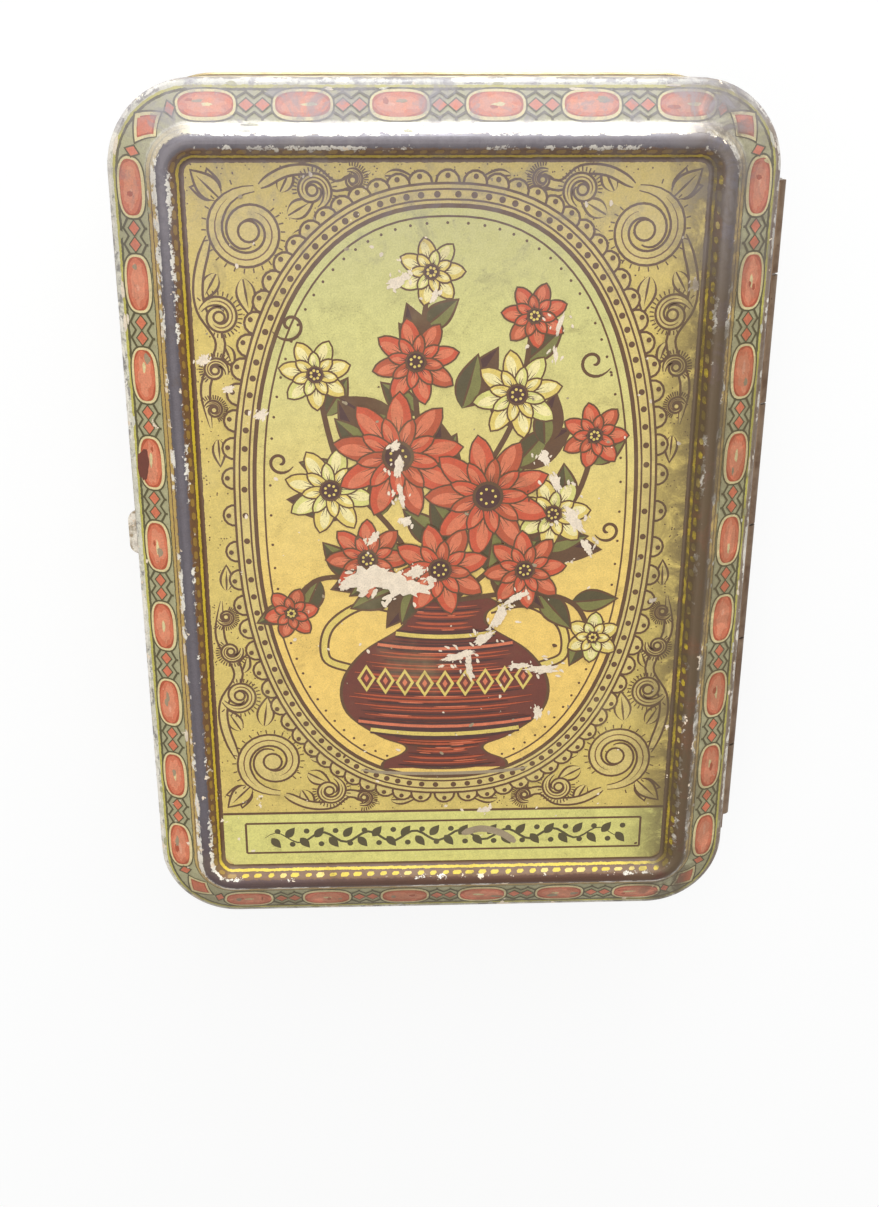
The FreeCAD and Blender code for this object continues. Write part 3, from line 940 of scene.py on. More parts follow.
def wall_finish():
    """Printed wall with a bare neck and a lacquered inside."""
    material, w, shader = new_material("lithographed_wall")
    _, _, z = w.parts(w.place())
    height = w.math("SUBTRACT", z, WALL_PRINT_FOOT)
    printed = w.stripes(wandering(w, height, 0.25), WALL_REACH, WALL_STRIPES)
    aged = placed_group(w, "aged_print_and_sheen", Ink=printed, Wear=w.ramp_up(z, 3.6, 2.4, 0.0, 0.5))
    inked = w.times(outside_mask(w, (0.0, 0.0, 15.0)), w.math("LESS_THAN", z, SHOULDER_LEVEL))
    finish_sheet(w, shader, inked, aged, 0.5, 0.2, 0.35)
    w.feed(shader.inputs["Metallic"], w.times(w.math("SUBTRACT", 1.0, inked), 0.8))
    return material


def bare_finish(name, metal, stain, age, roughness):
    """Bare tinplate or wire with its own tarnish."""
    material, w, shader = new_material(name)
    tarnished = placed_group(
        w, "tarnish", Metal=(*linear(*metal), 1.0), Stain=(*linear(*stain), 1.0), Age=age
    )
    w.feed(shader.inputs["Base Color"], tarnished["Color"])
    w.feed(shader.inputs["Roughness"], w.math("ADD", tarnished["Roughness"], roughness))
    w.feed(shader.inputs["Normal"], bump(w, tarnished["Height"], 0.3))
    shader.inputs["Metallic"].default_value = 0.85
    return material


def give_finish(node, material):
    """Put a material on a CAD node in place of its own."""
    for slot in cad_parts[node].material_slots:
        slot.link = "OBJECT"
        slot.material = material


# The border

# The moulding's foot, from the rim: the border's shapes stop a little short of the fold.
BAND_FOOT = 5.02


def border_path():
    """The line along which the border's chain runs."""
    return RoundPath(millimetres("corner_radius") - millimetres("chain_inset"))


def stone_places(path):
    """Lengths along the border at which an oval stone sits."""
    pitch = millimetres("stone_pitch")
    side = path.across + path.bend + path.along
    half = path.total / 2
    places = []
    for middle, count in ((0.0, 6), (side, 9), (half, 6), (half + side, 9)):
        places.extend(middle + pitch * (index - (count - 1) / 2) for index in range(count))
    return places


def on_band(outline):
    """Keep an outline off the fold at the moulding's foot."""
    return [(u, min(v, BAND_FOOT)) for u, v in outline]


def draw_stone(border, middle, chance):
    """One oval stone: dark outline, cream setting, coral stone, worn middle and gleam."""
    inset = millimetres("chain_inset")
    half_u, half_v = millimetres("stone_length") / 2, millimetres("stone_width") / 2
    coral_v = inset - 0.06
    faded = chance.random() < 0.15
    across, along = 2 * half_u - 0.9, 2 * half_v - 0.85
    slide = chance.uniform(-1.2, 1.2)
    border.nested(
        (on_band(oval(middle, inset, half_u + 0.24, half_v + 0.2, 2.7)), "moss"),
        (oval(middle, inset, half_u, half_v, 2.7), "cream"),
        (oval(middle, coral_v, half_u - 0.3, half_v - 0.36, 2.9), "brick"),
        (ragged(middle, coral_v, across, along, 0.0, chance, 36, 0.05),
         "faded" if faded else "coral"),
        (ragged(middle, coral_v, across - 1.3, along - 0.9, 0.0, chance, 36, 0.25),
         "faded" if faded else "blush"),
        (ragged(middle + slide, coral_v, chance.uniform(0.8, 2.2), 0.42, 0.0, chance, 20, 0.3),
         "cream" if slide > -0.4 else "rose"),
    )
    for _ in range(chance.choice((0, 1, 1, 2))):
        spot = (middle + chance.uniform(-2.4, 2.4), coral_v + chance.uniform(-0.6, 0.6))
        patch = ragged(*spot, chance.uniform(0.5, 1.8), chance.uniform(0.3, 0.8), 0.0, chance, 18)
        border.shape(patch, chance.choice(("brick", "brick", "scuff")))


def draw_link(border, middle):
    """Between two stones: two coral lozenges between zigzag lines."""
    inset = millimetres("chain_inset")
    width = millimetres("fine_line")
    reach = (millimetres("stone_pitch") - millimetres("stone_length")) / 2
    step = reach / 2.2
    dip, peak, tip = 0.8, 1.46, 1.76
    for side in (-1, 1):
        zigzag = [
            (middle - reach, inset + side * dip), (middle - step, inset + side * peak),
            (middle, inset + side * dip), (middle + step, inset + side * peak),
            (middle + reach, inset + side * dip),
        ]
        border.line(zigzag, width, "moss")
        for place in (middle - step, middle + step):
            border.line([(place, inset + side * peak), (place, inset + side * tip)], width, "moss")
    for side in (-1, 1):
        border.nested(
            (lozenge(middle + side * step, inset, step * 1.08, 0.9), "moss"),
            (lozenge(middle + side * step, inset, step * 0.86, 0.68), "coral"),
        )


def draw_corner(border, middle):
    """At a corner: a coral square in a cream one, with a small lozenge on each side."""
    inset = millimetres("chain_inset")
    border.nested(
        (on_band(lozenge(middle, inset, 2.75, 2.1)), "moss"),
        (lozenge(middle, inset, 2.4, 1.8), "cream"),
        (lozenge(middle, inset, 1.85, 1.38), "brick"),
        (lozenge(middle - 0.05, inset - 0.05, 1.55, 1.15), "coral"),
    )
    for side in (-1, 1):
        place = middle + side * 3.55
        border.nested(
            (lozenge(place, inset, 0.85, 1.15), "moss"), (lozenge(place, inset, 0.6, 0.85), "coral")
        )


class TIN_OT_border(bpy.types.Operator):
    """Print the chain of oval stones and lozenges round the lid's border"""
    bl_idname = "tin.border"
    bl_label = "Border chain"

    def execute(self, context):
        chance = random.Random(11)
        path = border_path()
        stack = face_stack("border")
        stones = Print(border_place(path), stack, SLICE)
        links = Print(border_place(path), stack, SLICE)
        places = stone_places(path)
        pitch = millimetres("stone_pitch")
        for middle in places:
            draw_stone(stones, middle, chance)
        for first, second in zip(places, places[1:]):
            if second - first < pitch * 1.01:
                draw_link(links, (first + second) / 2)
        corner = path.across + path.bend / 2
        half = path.total / 2
        for middle in (corner, half - corner, half + corner, path.total - corner):
            draw_corner(links, middle)
        stones.build("border_stones", "lid")
        links.build("border_links", "lid")
        return {"FINISHED"}


class TIN_OT_rope(bpy.types.Operator):
    """Print the rope of slanting turns on the moulding's inner slope, with painted shade on its +Y
    and -X sides
    """
    bl_idname = "tin.rope"
    bl_label = "Moulding rope"

    def execute(self, context):
        chance = random.Random(3)
        inset = millimetres("rope_inset")
        path = RoundPath(millimetres("corner_radius") - inset)
        rope = Print(border_place(path), face_stack("rope"), SLICE)
        count = round(path.total / millimetres("rope_pitch"))
        pitch = path.total / count
        for index in range(count):
            start = index * pitch
            end = start + chance.uniform(0.56, 0.86) * pitch
            high, low = inset + chance.uniform(0.18, 0.26), inset - chance.uniform(0.14, 0.24)
            centre, outward = path.at(start)
            # Painted shade: the rope's turns on the +Y and -X sides are printed darker, as the
            # moulding's inner slope there lies in shade.
            shaded_side = centre.x + 8 * outward.x < -30 or centre.y + 8 * outward.y > 50
            ink = "straw" if chance.random() < 0.25 else "sulphur"
            rope.shape([
                (start + 0.16 * pitch, high), (end - 0.16 * pitch, high), (end, inset + 0.03),
                (end - 0.06 * pitch, low), (start + 0.3 * pitch, low), (start + 0.1 * pitch, inset),
            ], "ember" if shaded_side else ink)
        rope.build("moulding_rope", "lid")
        return {"FINISHED"}


# The sunk panel

# The oval field: how far +Y its middle lies, and its half width and half length.
PANEL_MIDDLE = 4.6
FIELD_HALF = (25.2, 39.8)


def panel_print():
    """Start a print on the sunk panel."""
    return Print(panel_place(), face_stack("panel"))


def mirrored(points, u, v, side, up):
    """Set points that are drawn for one corner into the corner on that side."""
    return [(u + side * a, v + up * b) for a, b in points]


# A corner's scroll work, from the panel's corner at +X +Y. Curls: u, v, radius, start and
# turns of the spiral, width. Spray: u, v, direction, length and width of each leaf.
CURLS = (
    (-7.4, -8.0, 5.2, 100, -1.55, 2.1), (-15.4, -3.1, 2.3, 250, -1.25, 1.3),
    (-3.2, -18.6, 2.5, 20, 1.3, 1.4), (-2.3, -25.4, 1.6, 200, -1.2, 1.1),
    (-20.4, -1.9, 1.3, 60, 1.1, 0.9), (-1.9, -30.6, 1.2, 20, 1.1, 0.9),
)
RUNNERS = (
    ((-9.0, -2.6), (-12.2, -0.9), (-15.6, -0.8), (-18.4, -2.6), (-22.6, -0.9)),
    ((-2.4, -8.6), (-0.9, -13.6), (-1.0, -17.6), (-3.2, -22.0), (-1.0, -27.4), (-1.4, -33.0)),
)
SPRAY = (
    (-4.2, -3.6, 14, 3.6, 1.7), (-3.6, -4.2, 76, 3.6, 1.7), (-4.2, -4.2, 45, 4.8, 2.3),
    (-12.2, -6.2, 150, 3.8, 1.9), (-11.4, -3.4, 118, 3.4, 1.6),
    (-12.6, -8.6, 186, 3.2, 1.6), (-6.4, -13.6, 262, 4.6, 2.0), (-3.2, -13.0, 300, 3.8, 1.7),
    (-9.6, -12.8, 232, 3.6, 1.6), (-18.6, -2.6, 165, 2.8, 1.3), (-3.6, -22.0, 250, 3.0, 1.3),
    (-2.2, -34.4, 268, 3.6, 1.3), (-24.2, -1.4, 182, 3.4, 1.2),
)


def draw_scroll(spandrel, u, v, side, up):
    """A leafy scroll for a corner of the panel, mirrored by side and up."""
    fine = millimetres("fine_line")
    runners = [mirrored(flowing(points, 6), u, v, side, up) for points in RUNNERS]
    for place_u, place_v, turn, reach, width in SPRAY:
        place = mirrored([(place_u, place_v)], u, v, side, up)[0]
        heading = math.radians(turn)
        heading = math.degrees(math.atan2(up * math.sin(heading), side * math.cos(heading)))
        spandrel.leaf(place, heading, reach, width, "sand", "ochre")
    spandrel.bands(runners, 1.5, "sand", "umber", 0.5, 0.2)
    for middle_u, middle_v, radius, start, turns, width in CURLS:
        eye = (middle_u, middle_v)
        path = spiral(*eye, radius, 0.25 * radius, start, turns, 40)
        spandrel.bands([mirrored(path, u, v, side, up)], width, "sand", "umber", 0.4, 0.6)
        spandrel.line(mirrored(path[3:26], u, v, side, up), 0.6 * fine, "rope", None, 0.2, 0.2)
        spot = mirrored([eye], u, v, side, up)[0]
        size = 0.22 * radius
        spandrel.nested(
            (oval(*spot, size + fine, size + fine, steps=16), "umber"),
            (oval(*spot, size, size, steps=16), "sand"),
        )
        for index in range(2, 24):
            out_u, out_v = path[index][0] - middle_u, path[index][1] - middle_v
            away = math.hypot(out_u, out_v)
            near, far = 1 + (width / 2 + 0.05) / away, 1 + (width / 2 + 0.62) / away
            tick = [(middle_u + out_u * near, middle_v + out_v * near),
                    (middle_u + out_u * far, middle_v + out_v * far)]
            spandrel.line(mirrored(tick, u, v, side, up), 0.55 * fine, "umber")


def stipple(ink_print, chance, count, spread, kept):
    """Scatter printer's dots over a box of half widths and a middle, where kept says so."""
    half_u, half_v, middle = spread
    for _ in range(count):
        u, v = chance.uniform(-half_u, half_u), middle + chance.uniform(-half_v, half_v)
        if kept(u, v):
            size = chance.uniform(0.07, 0.13)
            ink_print.shape(oval(u, v, size, size, steps=6), "umber")


class TIN_OT_spandrels(bpy.types.Operator):
    """Print the leafy scrolls in the four corners of the panel"""
    bl_idname = "tin.spandrels"
    bl_label = "Corner scrolls"

    def execute(self, context):
        spandrel = panel_print()
        chance = random.Random(5)
        inset = millimetres("panel_inset") + 0.5
        right, top = HALF_WIDTH - inset, HALF_LENGTH - inset
        foot = -HALF_LENGTH + millimetres("panel_inset") + millimetres("plaque_height") + 0.5
        across, along = (half + 3.6 for half in FIELD_HALF)

        def near_frame(u, v):
            edge = abs(u / across) ** 2.35 + abs((v - PANEL_MIDDLE) / along) ** 2.35
            return 1.01 < edge < 1.02 + 0.5 * chance.random() ** 2

        def near_edge(u, v):
            edge = min(right - abs(u), top - v, v - foot)
            return edge < 1.8 * chance.random() ** 2

        box = (right, (top - foot) / 2, (top + foot) / 2)
        stipple(spandrel, chance, 5200, box, near_frame)
        stipple(spandrel, chance, 4200, box, near_edge)
        for side in (-1, 1):
            draw_scroll(spandrel, side * right, top, side, 1)
            draw_scroll(spandrel, side * right, foot, side, -1)
        spandrel.build("corner_scrolls", "lid")
        return {"FINISHED"}


class TIN_OT_field(bpy.types.Operator):
    """Print the oval field with its ruled and beaded frame"""
    bl_idname = "tin.field"
    bl_label = "Oval field"

    def execute(self, context):
        field = panel_print()
        fine = millimetres("fine_line")
        across, along = FIELD_HALF

        def ring(grow, steps=96):
            return oval(0.0, PANEL_MIDDLE, across + grow, along + grow, 2.35, steps=steps)

        for u, v in ring(3.1, 76):
            field.nested(
                (oval(u, v, 1.6, 1.6, steps=14), "umber"),
                (oval(u, v, 1.6 - fine, 1.6 - fine, steps=14), "sand"),
            )
        field.nested(
            (ring(3.1), "umber"), (ring(3.1 - fine), "sand"), (ring(0.55), "umber"),
            (ring(0.0), "field"),
        )
        field.ring(ring(2.25), 0.8 * fine, "umber")
        field.ring(ring(1.0), 0.8 * fine, "umber")
        for u, v in ring(1.62, 110):
            field.shape(oval(u, v, 0.42, 0.42, steps=10), "umber")
        for u, v in ring(3.85, 76):
            field.shape(oval(u, v, 0.34, 0.34, steps=8), "umber")
        field.ring(ring(-1.0), 0.8 * fine, "umber")
        for u, v in ring(-1.8, 84):
            field.shape(oval(u, v, 0.2, 0.2, steps=6), "umber")
        field.build("oval_field", "lid")
        return {"FINISHED"}


class TIN_OT_plaque(bpy.types.Operator):
    """Print the plaque at the foot of the panel, with a running sprig in a ruled box"""
    bl_idname = "tin.plaque"
    bl_label = "Plaque"

    def execute(self, context):
        plaque = panel_print()
        fine = millimetres("fine_line")
        inset = millimetres("panel_inset") + 0.35
        right = HALF_WIDTH - inset
        low = -HALF_LENGTH + inset
        high = low + millimetres("plaque_height") - 0.35
        plaque.shape([
            (-right, high), (-right, low + 1.2), (-right + 1.2, low), (right - 1.2, low),
            (right, low + 1.2), (right, high),
        ], "plaque")
        plaque.line([(-right, high), (right, high)], fine * 1.2, "umber")
        box = [
            (-right + 3.2, low + 1.9), (right - 3.2, low + 1.9),
            (right - 3.2, high - 1.7), (-right + 3.2, high - 1.7),
        ]
        for start, end in zip(box, box[1:] + box[:1]):
            plaque.line([start, end], fine, "umber")
        middle = (low + high) / 2 + 0.1
        wave = [(-26.4 + 0.8 * step, middle + 0.85 * math.sin(step * 0.74)) for step in range(67)]
        plaque.line(wave, fine * 1.2, "shade", None, 0.2, 0.2)
        for index in range(25):
            u = -25.4 + 2.12 * index
            up = 1 if index % 2 else -1
            plaque.shape(petal(u, middle, math.radians(up * 52), 2.2, 1.25), "shade")
            plaque.shape(oval(u + 0.95, middle - up * 1.1, 0.44, 0.44, steps=10), "shade")
        plaque.build("foot_plaque", "lid")
        return {"FINISHED"}


def draw_blossom(bouquet, u, v, radius, petals, inks, turn=0.0):
    """A blossom of two rings of petals round a dark heart; inks are shade, petal and light."""
    shade, tint, light = inks
    fine = millimetres("fine_line")
    for ring, (share, spread) in enumerate(((1.0, 1.08), (0.62, 1.0))):
        reach = radius * share
        width = spread * reach * math.pi / petals
        for index in range(petals):
            heading = math.radians(turn) + 2 * math.pi * (index + 0.5 * ring) / petals
            cos, sin = math.cos(heading), math.sin(heading)
            foot = (u + 0.4 * reach * cos, v + 0.4 * reach * sin)
            lift = bouquet.nested(
                (petal(u, v, heading, reach + 0.26, width + 1.3 * fine, 0.62), "umber"),
                (petal(u, v, heading, reach, width, 0.62), shade if index % 3 == 1 else tint),
                (petal(*foot, heading + 0.12, reach * 0.52, width * 0.5, 0.62), light),
            )
            for lean in (-0.22, -0.08, 0.08, 0.22):
                start = (u + 0.26 * reach * cos, v + 0.26 * reach * sin)
                far = 0.72 - 1.2 * abs(lean)
                end = (u + far * reach * math.cos(heading + lean),
                       v + far * reach * math.sin(heading + lean))
                bouquet.line([start, end], 0.6 * fine, "wine" if ring else "umber", lift, 1.0, 0.2)
    lift = bouquet.nested(
        (oval(u, v, radius * 0.25, radius * 0.25, steps=18), "umber"),
        (oval(u, v, radius * 0.2, radius * 0.2, steps=18), "wine"),
    )
    for index in range(7):
        angle = 2 * math.pi * index / 7
        dot = (u + radius * 0.12 * math.cos(angle), v + radius * 0.12 * math.sin(angle))
        bouquet.shape(oval(*dot, 0.6 * fine, 0.6 * fine, steps=8), "straw", lift)


CORAL_INKS = ("brick", "scarlet", "coral")
STRAW_INKS = ("plaque", "straw", "butter")
LEAF_INKS = ("leaf", "shade")

# Tendrils: u, v, radius, turns. Leaves: place, direction, length. Blossoms: u, v, radius,
# petals, inks, turn.
TENDRILS = ((-20, 30, 2.4, 1.2), (19, 25, 2.4, -1.2), (-22, 12, 1.9, -1.2), (22, 2, 1.9, 1.2))
STEMS = (
    ((0, -8), (-1, 6), (-4, 20), (-2, 37)), ((0, -8), (3, 6), (9, 18), (11, 31)),
    ((-1, -8), (-7, 2), (-14, 11), (-17, 24)), ((1, -8), (9, -1), (17, 6), (20, 16)),
    ((-1, -8), (-10, -5), (-18, -5), (-22, -12)), ((1, -8), (11, -7), (18, -9), (21, -16)),
)
DEEP_LEAVES = (
    ((-6, 16), 150, 9), ((2, 19), 60, 9), ((9, 11), 35, 9), ((-12, 6), 175, 9),
    ((12, 0), -5, 9), ((-7, -3), 200, 9), ((6, -4), -35, 9), ((-2, 24), 110, 9),
    ((-10, 13), 120, 8), ((13, 14), 80, 7), ((0, 8), 95, 9), ((-4, -6), 235, 7),
)
BLOSSOMS = (
    (-2.0, 36.6, 4.2, 7, STRAW_INKS, 0), (-17.0, 23.6, 4.6, 7, STRAW_INKS, 15),
    (11.2, 31.0, 4.2, 7, CORAL_INKS, 20), (19.6, 15.2, 4.4, 7, CORAL_INKS, 0),
    (-21.2, -9.6, 3.7, 6, CORAL_INKS, 10), (20.6, -13.8, 3.7, 6, STRAW_INKS, 25),
    (-4.0, 25.2, 5.6, 8, CORAL_INKS, 12), (9.2, 20.8, 5.8, 8, STRAW_INKS, 10),
    (-15.4, 8.0, 6.0, 8, STRAW_INKS, 30), (14.4, 4.4, 5.0, 7, STRAW_INKS, 5),
    (-6.4, 12.6, 8.6, 9, CORAL_INKS, 8), (5.6, 7.0, 8.4, 9, CORAL_INKS, 20),
    (10.8, -3.6, 5.6, 8, CORAL_INKS, 5), (-10.6, -1.8, 5.6, 8, CORAL_INKS, 0),
    (-0.8, -3.4, 6.6, 8, CORAL_INKS, 14),
)


class TIN_OT_bouquet(bpy.types.Operator):
    """Print the bunch of coral and yellow blossoms with its leaves and tendrils"""
    bl_idname = "tin.bouquet"
    bl_label = "Bouquet"

    def execute(self, context):
        bouquet = panel_print()
        bold = millimetres("bold_line")
        for start_u, start_v, outer, turns in TENDRILS:
            curl = spiral(start_u, start_v, outer, 0.3, 200 if turns > 0 else -20, turns)
            bouquet.line(curl, bold * 0.7, "umber", None, 0.3, 0.4)
        for stem in STEMS:
            path = flowing(stem, 8)
            bouquet.vine(path, 7.6, LEAF_INKS, 5, 42, 0.3)
            bouquet.line(path, bold * 1.2, "umber", None, 1.0, 0.3)
        for place, turn, reach in DEEP_LEAVES:
            bouquet.leaf(place, turn, reach, 0.44 * reach, "umber", "wine")
            bouquet.leaf(place, turn + 14, reach * 0.8, 0.34 * reach, *LEAF_INKS)
        for blossom in BLOSSOMS:
            draw_blossom(bouquet, *blossom)
        bouquet.build("bouquet", "lid")
        return {"FINISHED"}


# Half width and height of the vase, from its lip to its foot.
VASE_PROFILE = (
    (5.6, -7.6), (7.0, -8.6), (5.4, -10.0), (5.9, -12.0), (11.2, -15.6), (14.2, -20.2),
    (13.6, -25.0), (9.0, -28.8), (5.4, -30.4), (5.8, -31.6), (8.4, -32.8), (8.8, -34.0),
)


class TIN_OT_vase(bpy.types.Operator):
    """Print the striped maroon vase that holds the bouquet"""
    bl_idname = "tin.vase"
    bl_label = "Vase"

    def execute(self, context):
        vase = panel_print()
        chance = random.Random(41)
        fine, bold = millimetres("fine_line"), millimetres("bold_line")
        side = flowing(VASE_PROFILE, 5)

        def silhouette(grow):
            right = [(half + grow, v) for half, v in side]
            return right + [(-u, v) for u, v in reversed(right)]

        def half_width(level):
            for (first, high), (second, low) in zip(side, side[1:]):
                if low <= level <= high:
                    share = (high - level) / ((high - low) or 1.0)
                    return first + (second - first) * share
            return 0.0

        def hoop(level, start, end):
            """A stripe round the vase, which sags towards its middle."""
            half = half_width(level)
            shares = [start + (end - start) * step / 7 for step in range(8)]
            return [(half * share, level - 0.09 * half * (1 - share ** 2)) for share in shares]

        vase.line(arc(0.0, -34.0, 12.0, 180, 360, 24, 0.08), 0.5, "scuff", None, 0.1, 0.1)
        handles = [
            [(turn * a, b) for a, b in flowing(
                [(6.2, -9.4), (11.4, -8.6), (16.0, -11.8), (16.6, -16.4), (13.4, -18.0)], 8
            )]
            for turn in (-1, 1)
        ]
        vase.bands(handles, bold * 2.4, "straw", "umber")
        vase.nested((silhouette(0.45), "umber"), (silhouette(0.0), "maroon"))
        level = -8.4
        while level > -33.6:
            ink = "brick" if round(level * 2) % 3 else "wine"
            start, end = chance.uniform(-0.95, -0.7), chance.uniform(0.55, 0.92)
            vase.line(hoop(level, start, end), chance.uniform(0.18, 0.34), ink, None, 0.3, 0.2)
            if chance.random() < 0.5:
                start = chance.uniform(-0.9, 0.3)
                path = hoop(level + 0.24, start, start + chance.uniform(0.2, 0.5))
                vase.line(path, 0.16, "coral", None, 0.2, 0.2)
            level -= chance.uniform(0.44, 0.6)
        for level, ink, width in ((-12.8, "straw", 0.6), (-27.6, "straw", 0.6),
                                  (-14.4, "coral", 0.45), (-26.2, "coral", 0.45)):
            vase.line(hoop(level, -0.98, 0.98), width + 2 * fine, "wine")
            vase.line(hoop(level, -0.98, 0.98), width, ink)
        for index in range(-4, 5):
            u = 2.9 * index * (1 - 0.012 * abs(index))
            v = -19.6 - 1.0 * (1 - (index / 4) ** 2)
            vase.nested(
                (lozenge(u, v, 1.3, 2.1), "straw"), (lozenge(u, v, 0.85, 1.45), "maroon"),
                (lozenge(u, v, 0.36, 0.62), "coral"),
            )
        vase.build("vase", "lid")
        return {"FINISHED"}


# Wear that has a place of its own

# Flakes: u, v, length, width, turn.
FLAKES = (
    (-6.2, 35.4, 3.4, 1.3, 20), (-1.6, 33.6, 1.6, 0.9, 60), (-6.8, 14.0, 1.5, 1.0, 10),
    (-6.3, 11.2, 3.2, 1.0, 80), (-6.0, 7.2, 3.0, 0.9, 100), (-5.4, 3.6, 1.8, 1.1, 30),
    (-9.8, 1.2, 2.0, 1.1, 50), (-10.6, -4.6, 6.2, 3.2, 8), (-6.0, -5.6, 6.6, 3.0, -12),
    (-4.0, -3.6, 2.6, 1.4, 40), (-2.0, -4.8, 1.2, 1.0, 0), (-13.6, -5.4, 2.0, 1.4, 70),
    (13.0, 12.2, 2.4, 1.1, -60), (14.6, 8.8, 3.2, 1.0, -70), (17.2, 3.6, 4.6, 1.3, -50),
    (19.2, -0.4, 2.8, 1.0, -60), (9.8, -7.6, 3.0, 1.1, 30), (7.4, -10.4, 4.4, 1.2, 60),
    (5.4, -13.6, 3.4, 1.2, 30), (1.8, -16.4, 4.4, 1.2, 15), (3.4, -18.2, 3.4, 1.0, -80),
    (10.4, -18.0, 2.6, 0.9, 0), (13.8, -18.6, 4.4, 1.2, 4), (13.2, -25.4, 2.4, 1.0, -80),
    (14.4, 29.8, 3.2, 0.5, 75), (14.0, 26.0, 2.4, 0.5, 95), (-31.2, 25.6, 1.7, 1.2, 60),
    (-28.2, 21.8, 1.5, 0.9, 20), (-24.2, 18.4, 1.9, 1.0, 50), (28.6, -8.4, 0.8, 0.7, 0),
    (31.6, 34.8, 1.6, 0.8, 90), (6.0, -41.2, 1.8, 0.9, 20),
)
SPECKS = 90


class TIN_OT_wear(bpy.types.Operator):
    """Lay the larger flakes, rubbed marks and stains over the print"""
    bl_idname = "tin.wear"
    bl_label = "Flakes and stains"

    def execute(self, context):
        chance = random.Random(23)
        flakes = panel_print()
        for u, v, reach, width, turn in FLAKES:
            flakes.shape(ragged(u, v, reach, width, math.radians(turn), chance, 44, 0.42), "primer")
            for _ in range(round(reach * 2)):
                away, heading = chance.uniform(0.35, 0.8) * reach, chance.uniform(0.0, 6.3)
                spot = (u + away * math.cos(heading), v + 0.6 * away * math.sin(heading))
                crumb = chance.uniform(0.15, 0.2 + 0.22 * width)
                flakes.shape(ragged(*spot, 2 * crumb, crumb, away, chance, 12), "primer")
        for _ in range(SPECKS):
            u, v = chance.uniform(-31, 31), chance.uniform(-48, 49)
            size = chance.uniform(0.12, 0.4)
            ink = chance.choice(("primer", "primer", "umber", "scuff"))
            flakes.shape(ragged(u, v, size * 2, size * 1.3, u, chance, 8), ink)
        rub = flowing([(2.6, -45.2), (5.4, -44.4), (8.4, -45.2), (10.6, -46.8)], 8)
        flakes.line(rub, 1.1, "scuff", None, 0.4, 0.4)
        flakes.build("flakes", "lid")

        path = border_path()
        stain = Print(border_place(path), face_stack("border"), SLICE)
        left = path.total / 2 + path.across + path.bend + path.along
        stain.shape(ragged(left + 11.4, 1.9, 4.2, 1.7, 0.1, chance, 30, 0.16), "maroon")
        for _ in range(70):
            where = chance.uniform(0.0, path.total)
            inset = chance.choice((0.7, 0.9, 1.3, 5.3, 6.0))
            reach = chance.uniform(0.4, 2.2)
            outline = ragged(where, inset, reach, chance.uniform(0.25, 0.55), 0.0, chance, 18)
            stain.shape(outline, chance.choice(("primer", "silver", "primer", "ground")))
        stain.build("border_flakes", "lid")
        return {"FINISHED"}


# The upright faces

SKIRT_ROW, SKIRT_PITCH = 2.45, 4.2
LATTICE_FOOT, LATTICE_TOP, LATTICE_PITCH = 4.3, 16.3, 6.0


class TIN_OT_sides(bpy.types.Operator):
    """Print a row of lozenges on the lid's skirt and a lattice round the wall"""
    bl_idname = "tin.sides"
    bl_label = "Side prints"

    def execute(self, context):
        fine = millimetres("fine_line")
        path = RoundPath(millimetres("corner_radius"))
        stack = face_stack("side")
        skirt = Print(side_place(path), stack, SLICE)
        middle = SKIRT_FOOT + SKIRT_ROW
        count = round(path.total / SKIRT_PITCH)
        for index in range(count):
            u = path.total * (index + 0.5) / count
            skirt.nested(
                (lozenge(u, middle, 1.5, 1.15), "moss"), (lozenge(u, middle, 1.15, 0.85), "coral"),
                lift=stack.height(1),
            )
            dot = oval(u + path.total / count / 2, middle, 0.3, 0.3, steps=8)
            skirt.shape(dot, "moss", stack.height(1))
        skirt.build("skirt_lozenges", "lid", upright=True)

        wall = Print(side_place(path), stack, SLICE)
        low, high = LATTICE_FOOT, LATTICE_TOP
        middle = (low + high) / 2
        count = round(path.total / LATTICE_PITCH)
        pitch = path.total / count
        for index in range(count):
            start = index * pitch
            for level, lean in enumerate((-1, 1)):
                points = [
                    (start + pitch * (0.5 + lean * (share - 0.5)), low + (high - low) * share)
                    for share in (step / 12 for step in range(13))
                ]
                wall.line(points, fine, "umber", stack.height(level + 1))
            wall.nested(
                (oval(start, middle, 1.5, 1.5, steps=16), "umber"),
                (oval(start, middle, 1.2, 1.2, steps=16), "coral"),
                (oval(start, middle, 0.4, 0.4, steps=10), "wine"),
                lift=stack.height(5),
            )
            knot = lozenge(start + pitch / 2, middle, 0.8, 1.1)
            wall.shape(knot, "moss", stack.height(5))
        wall.build("wall_lattice", "base", upright=True)
        return {"FINISHED"}


# Tinplate

class TIN_OT_tinplate(bpy.types.Operator):
    """Give the lid, wall, bottom, hinge leaves and pin their finishes"""
    bl_idname = "tin.tinplate"
    bl_label = "Tinplate finishes"

    def execute(self, context):
        give_finish("lid_shell", lid_finish())
        give_finish("base_wall", wall_finish())
        bottom = bare_finish("bottom_tinplate", (166, 150, 114), (116, 94, 66), 0.55, 0.3)
        give_finish("base_bottom", bottom)
        leaves = bare_finish("hinge_tinplate", (134, 114, 94), (88, 64, 48), 0.8, 0.3)
        give_finish("lid_hinge_leaf", leaves)
        give_finish("base_hinge_leaf", leaves)
        give_finish("hinge_pin", bare_finish("pin_wire", (158, 150, 142), (96, 74, 60), 0.6, 0.2))
        return {"FINISHED"}


# Stage

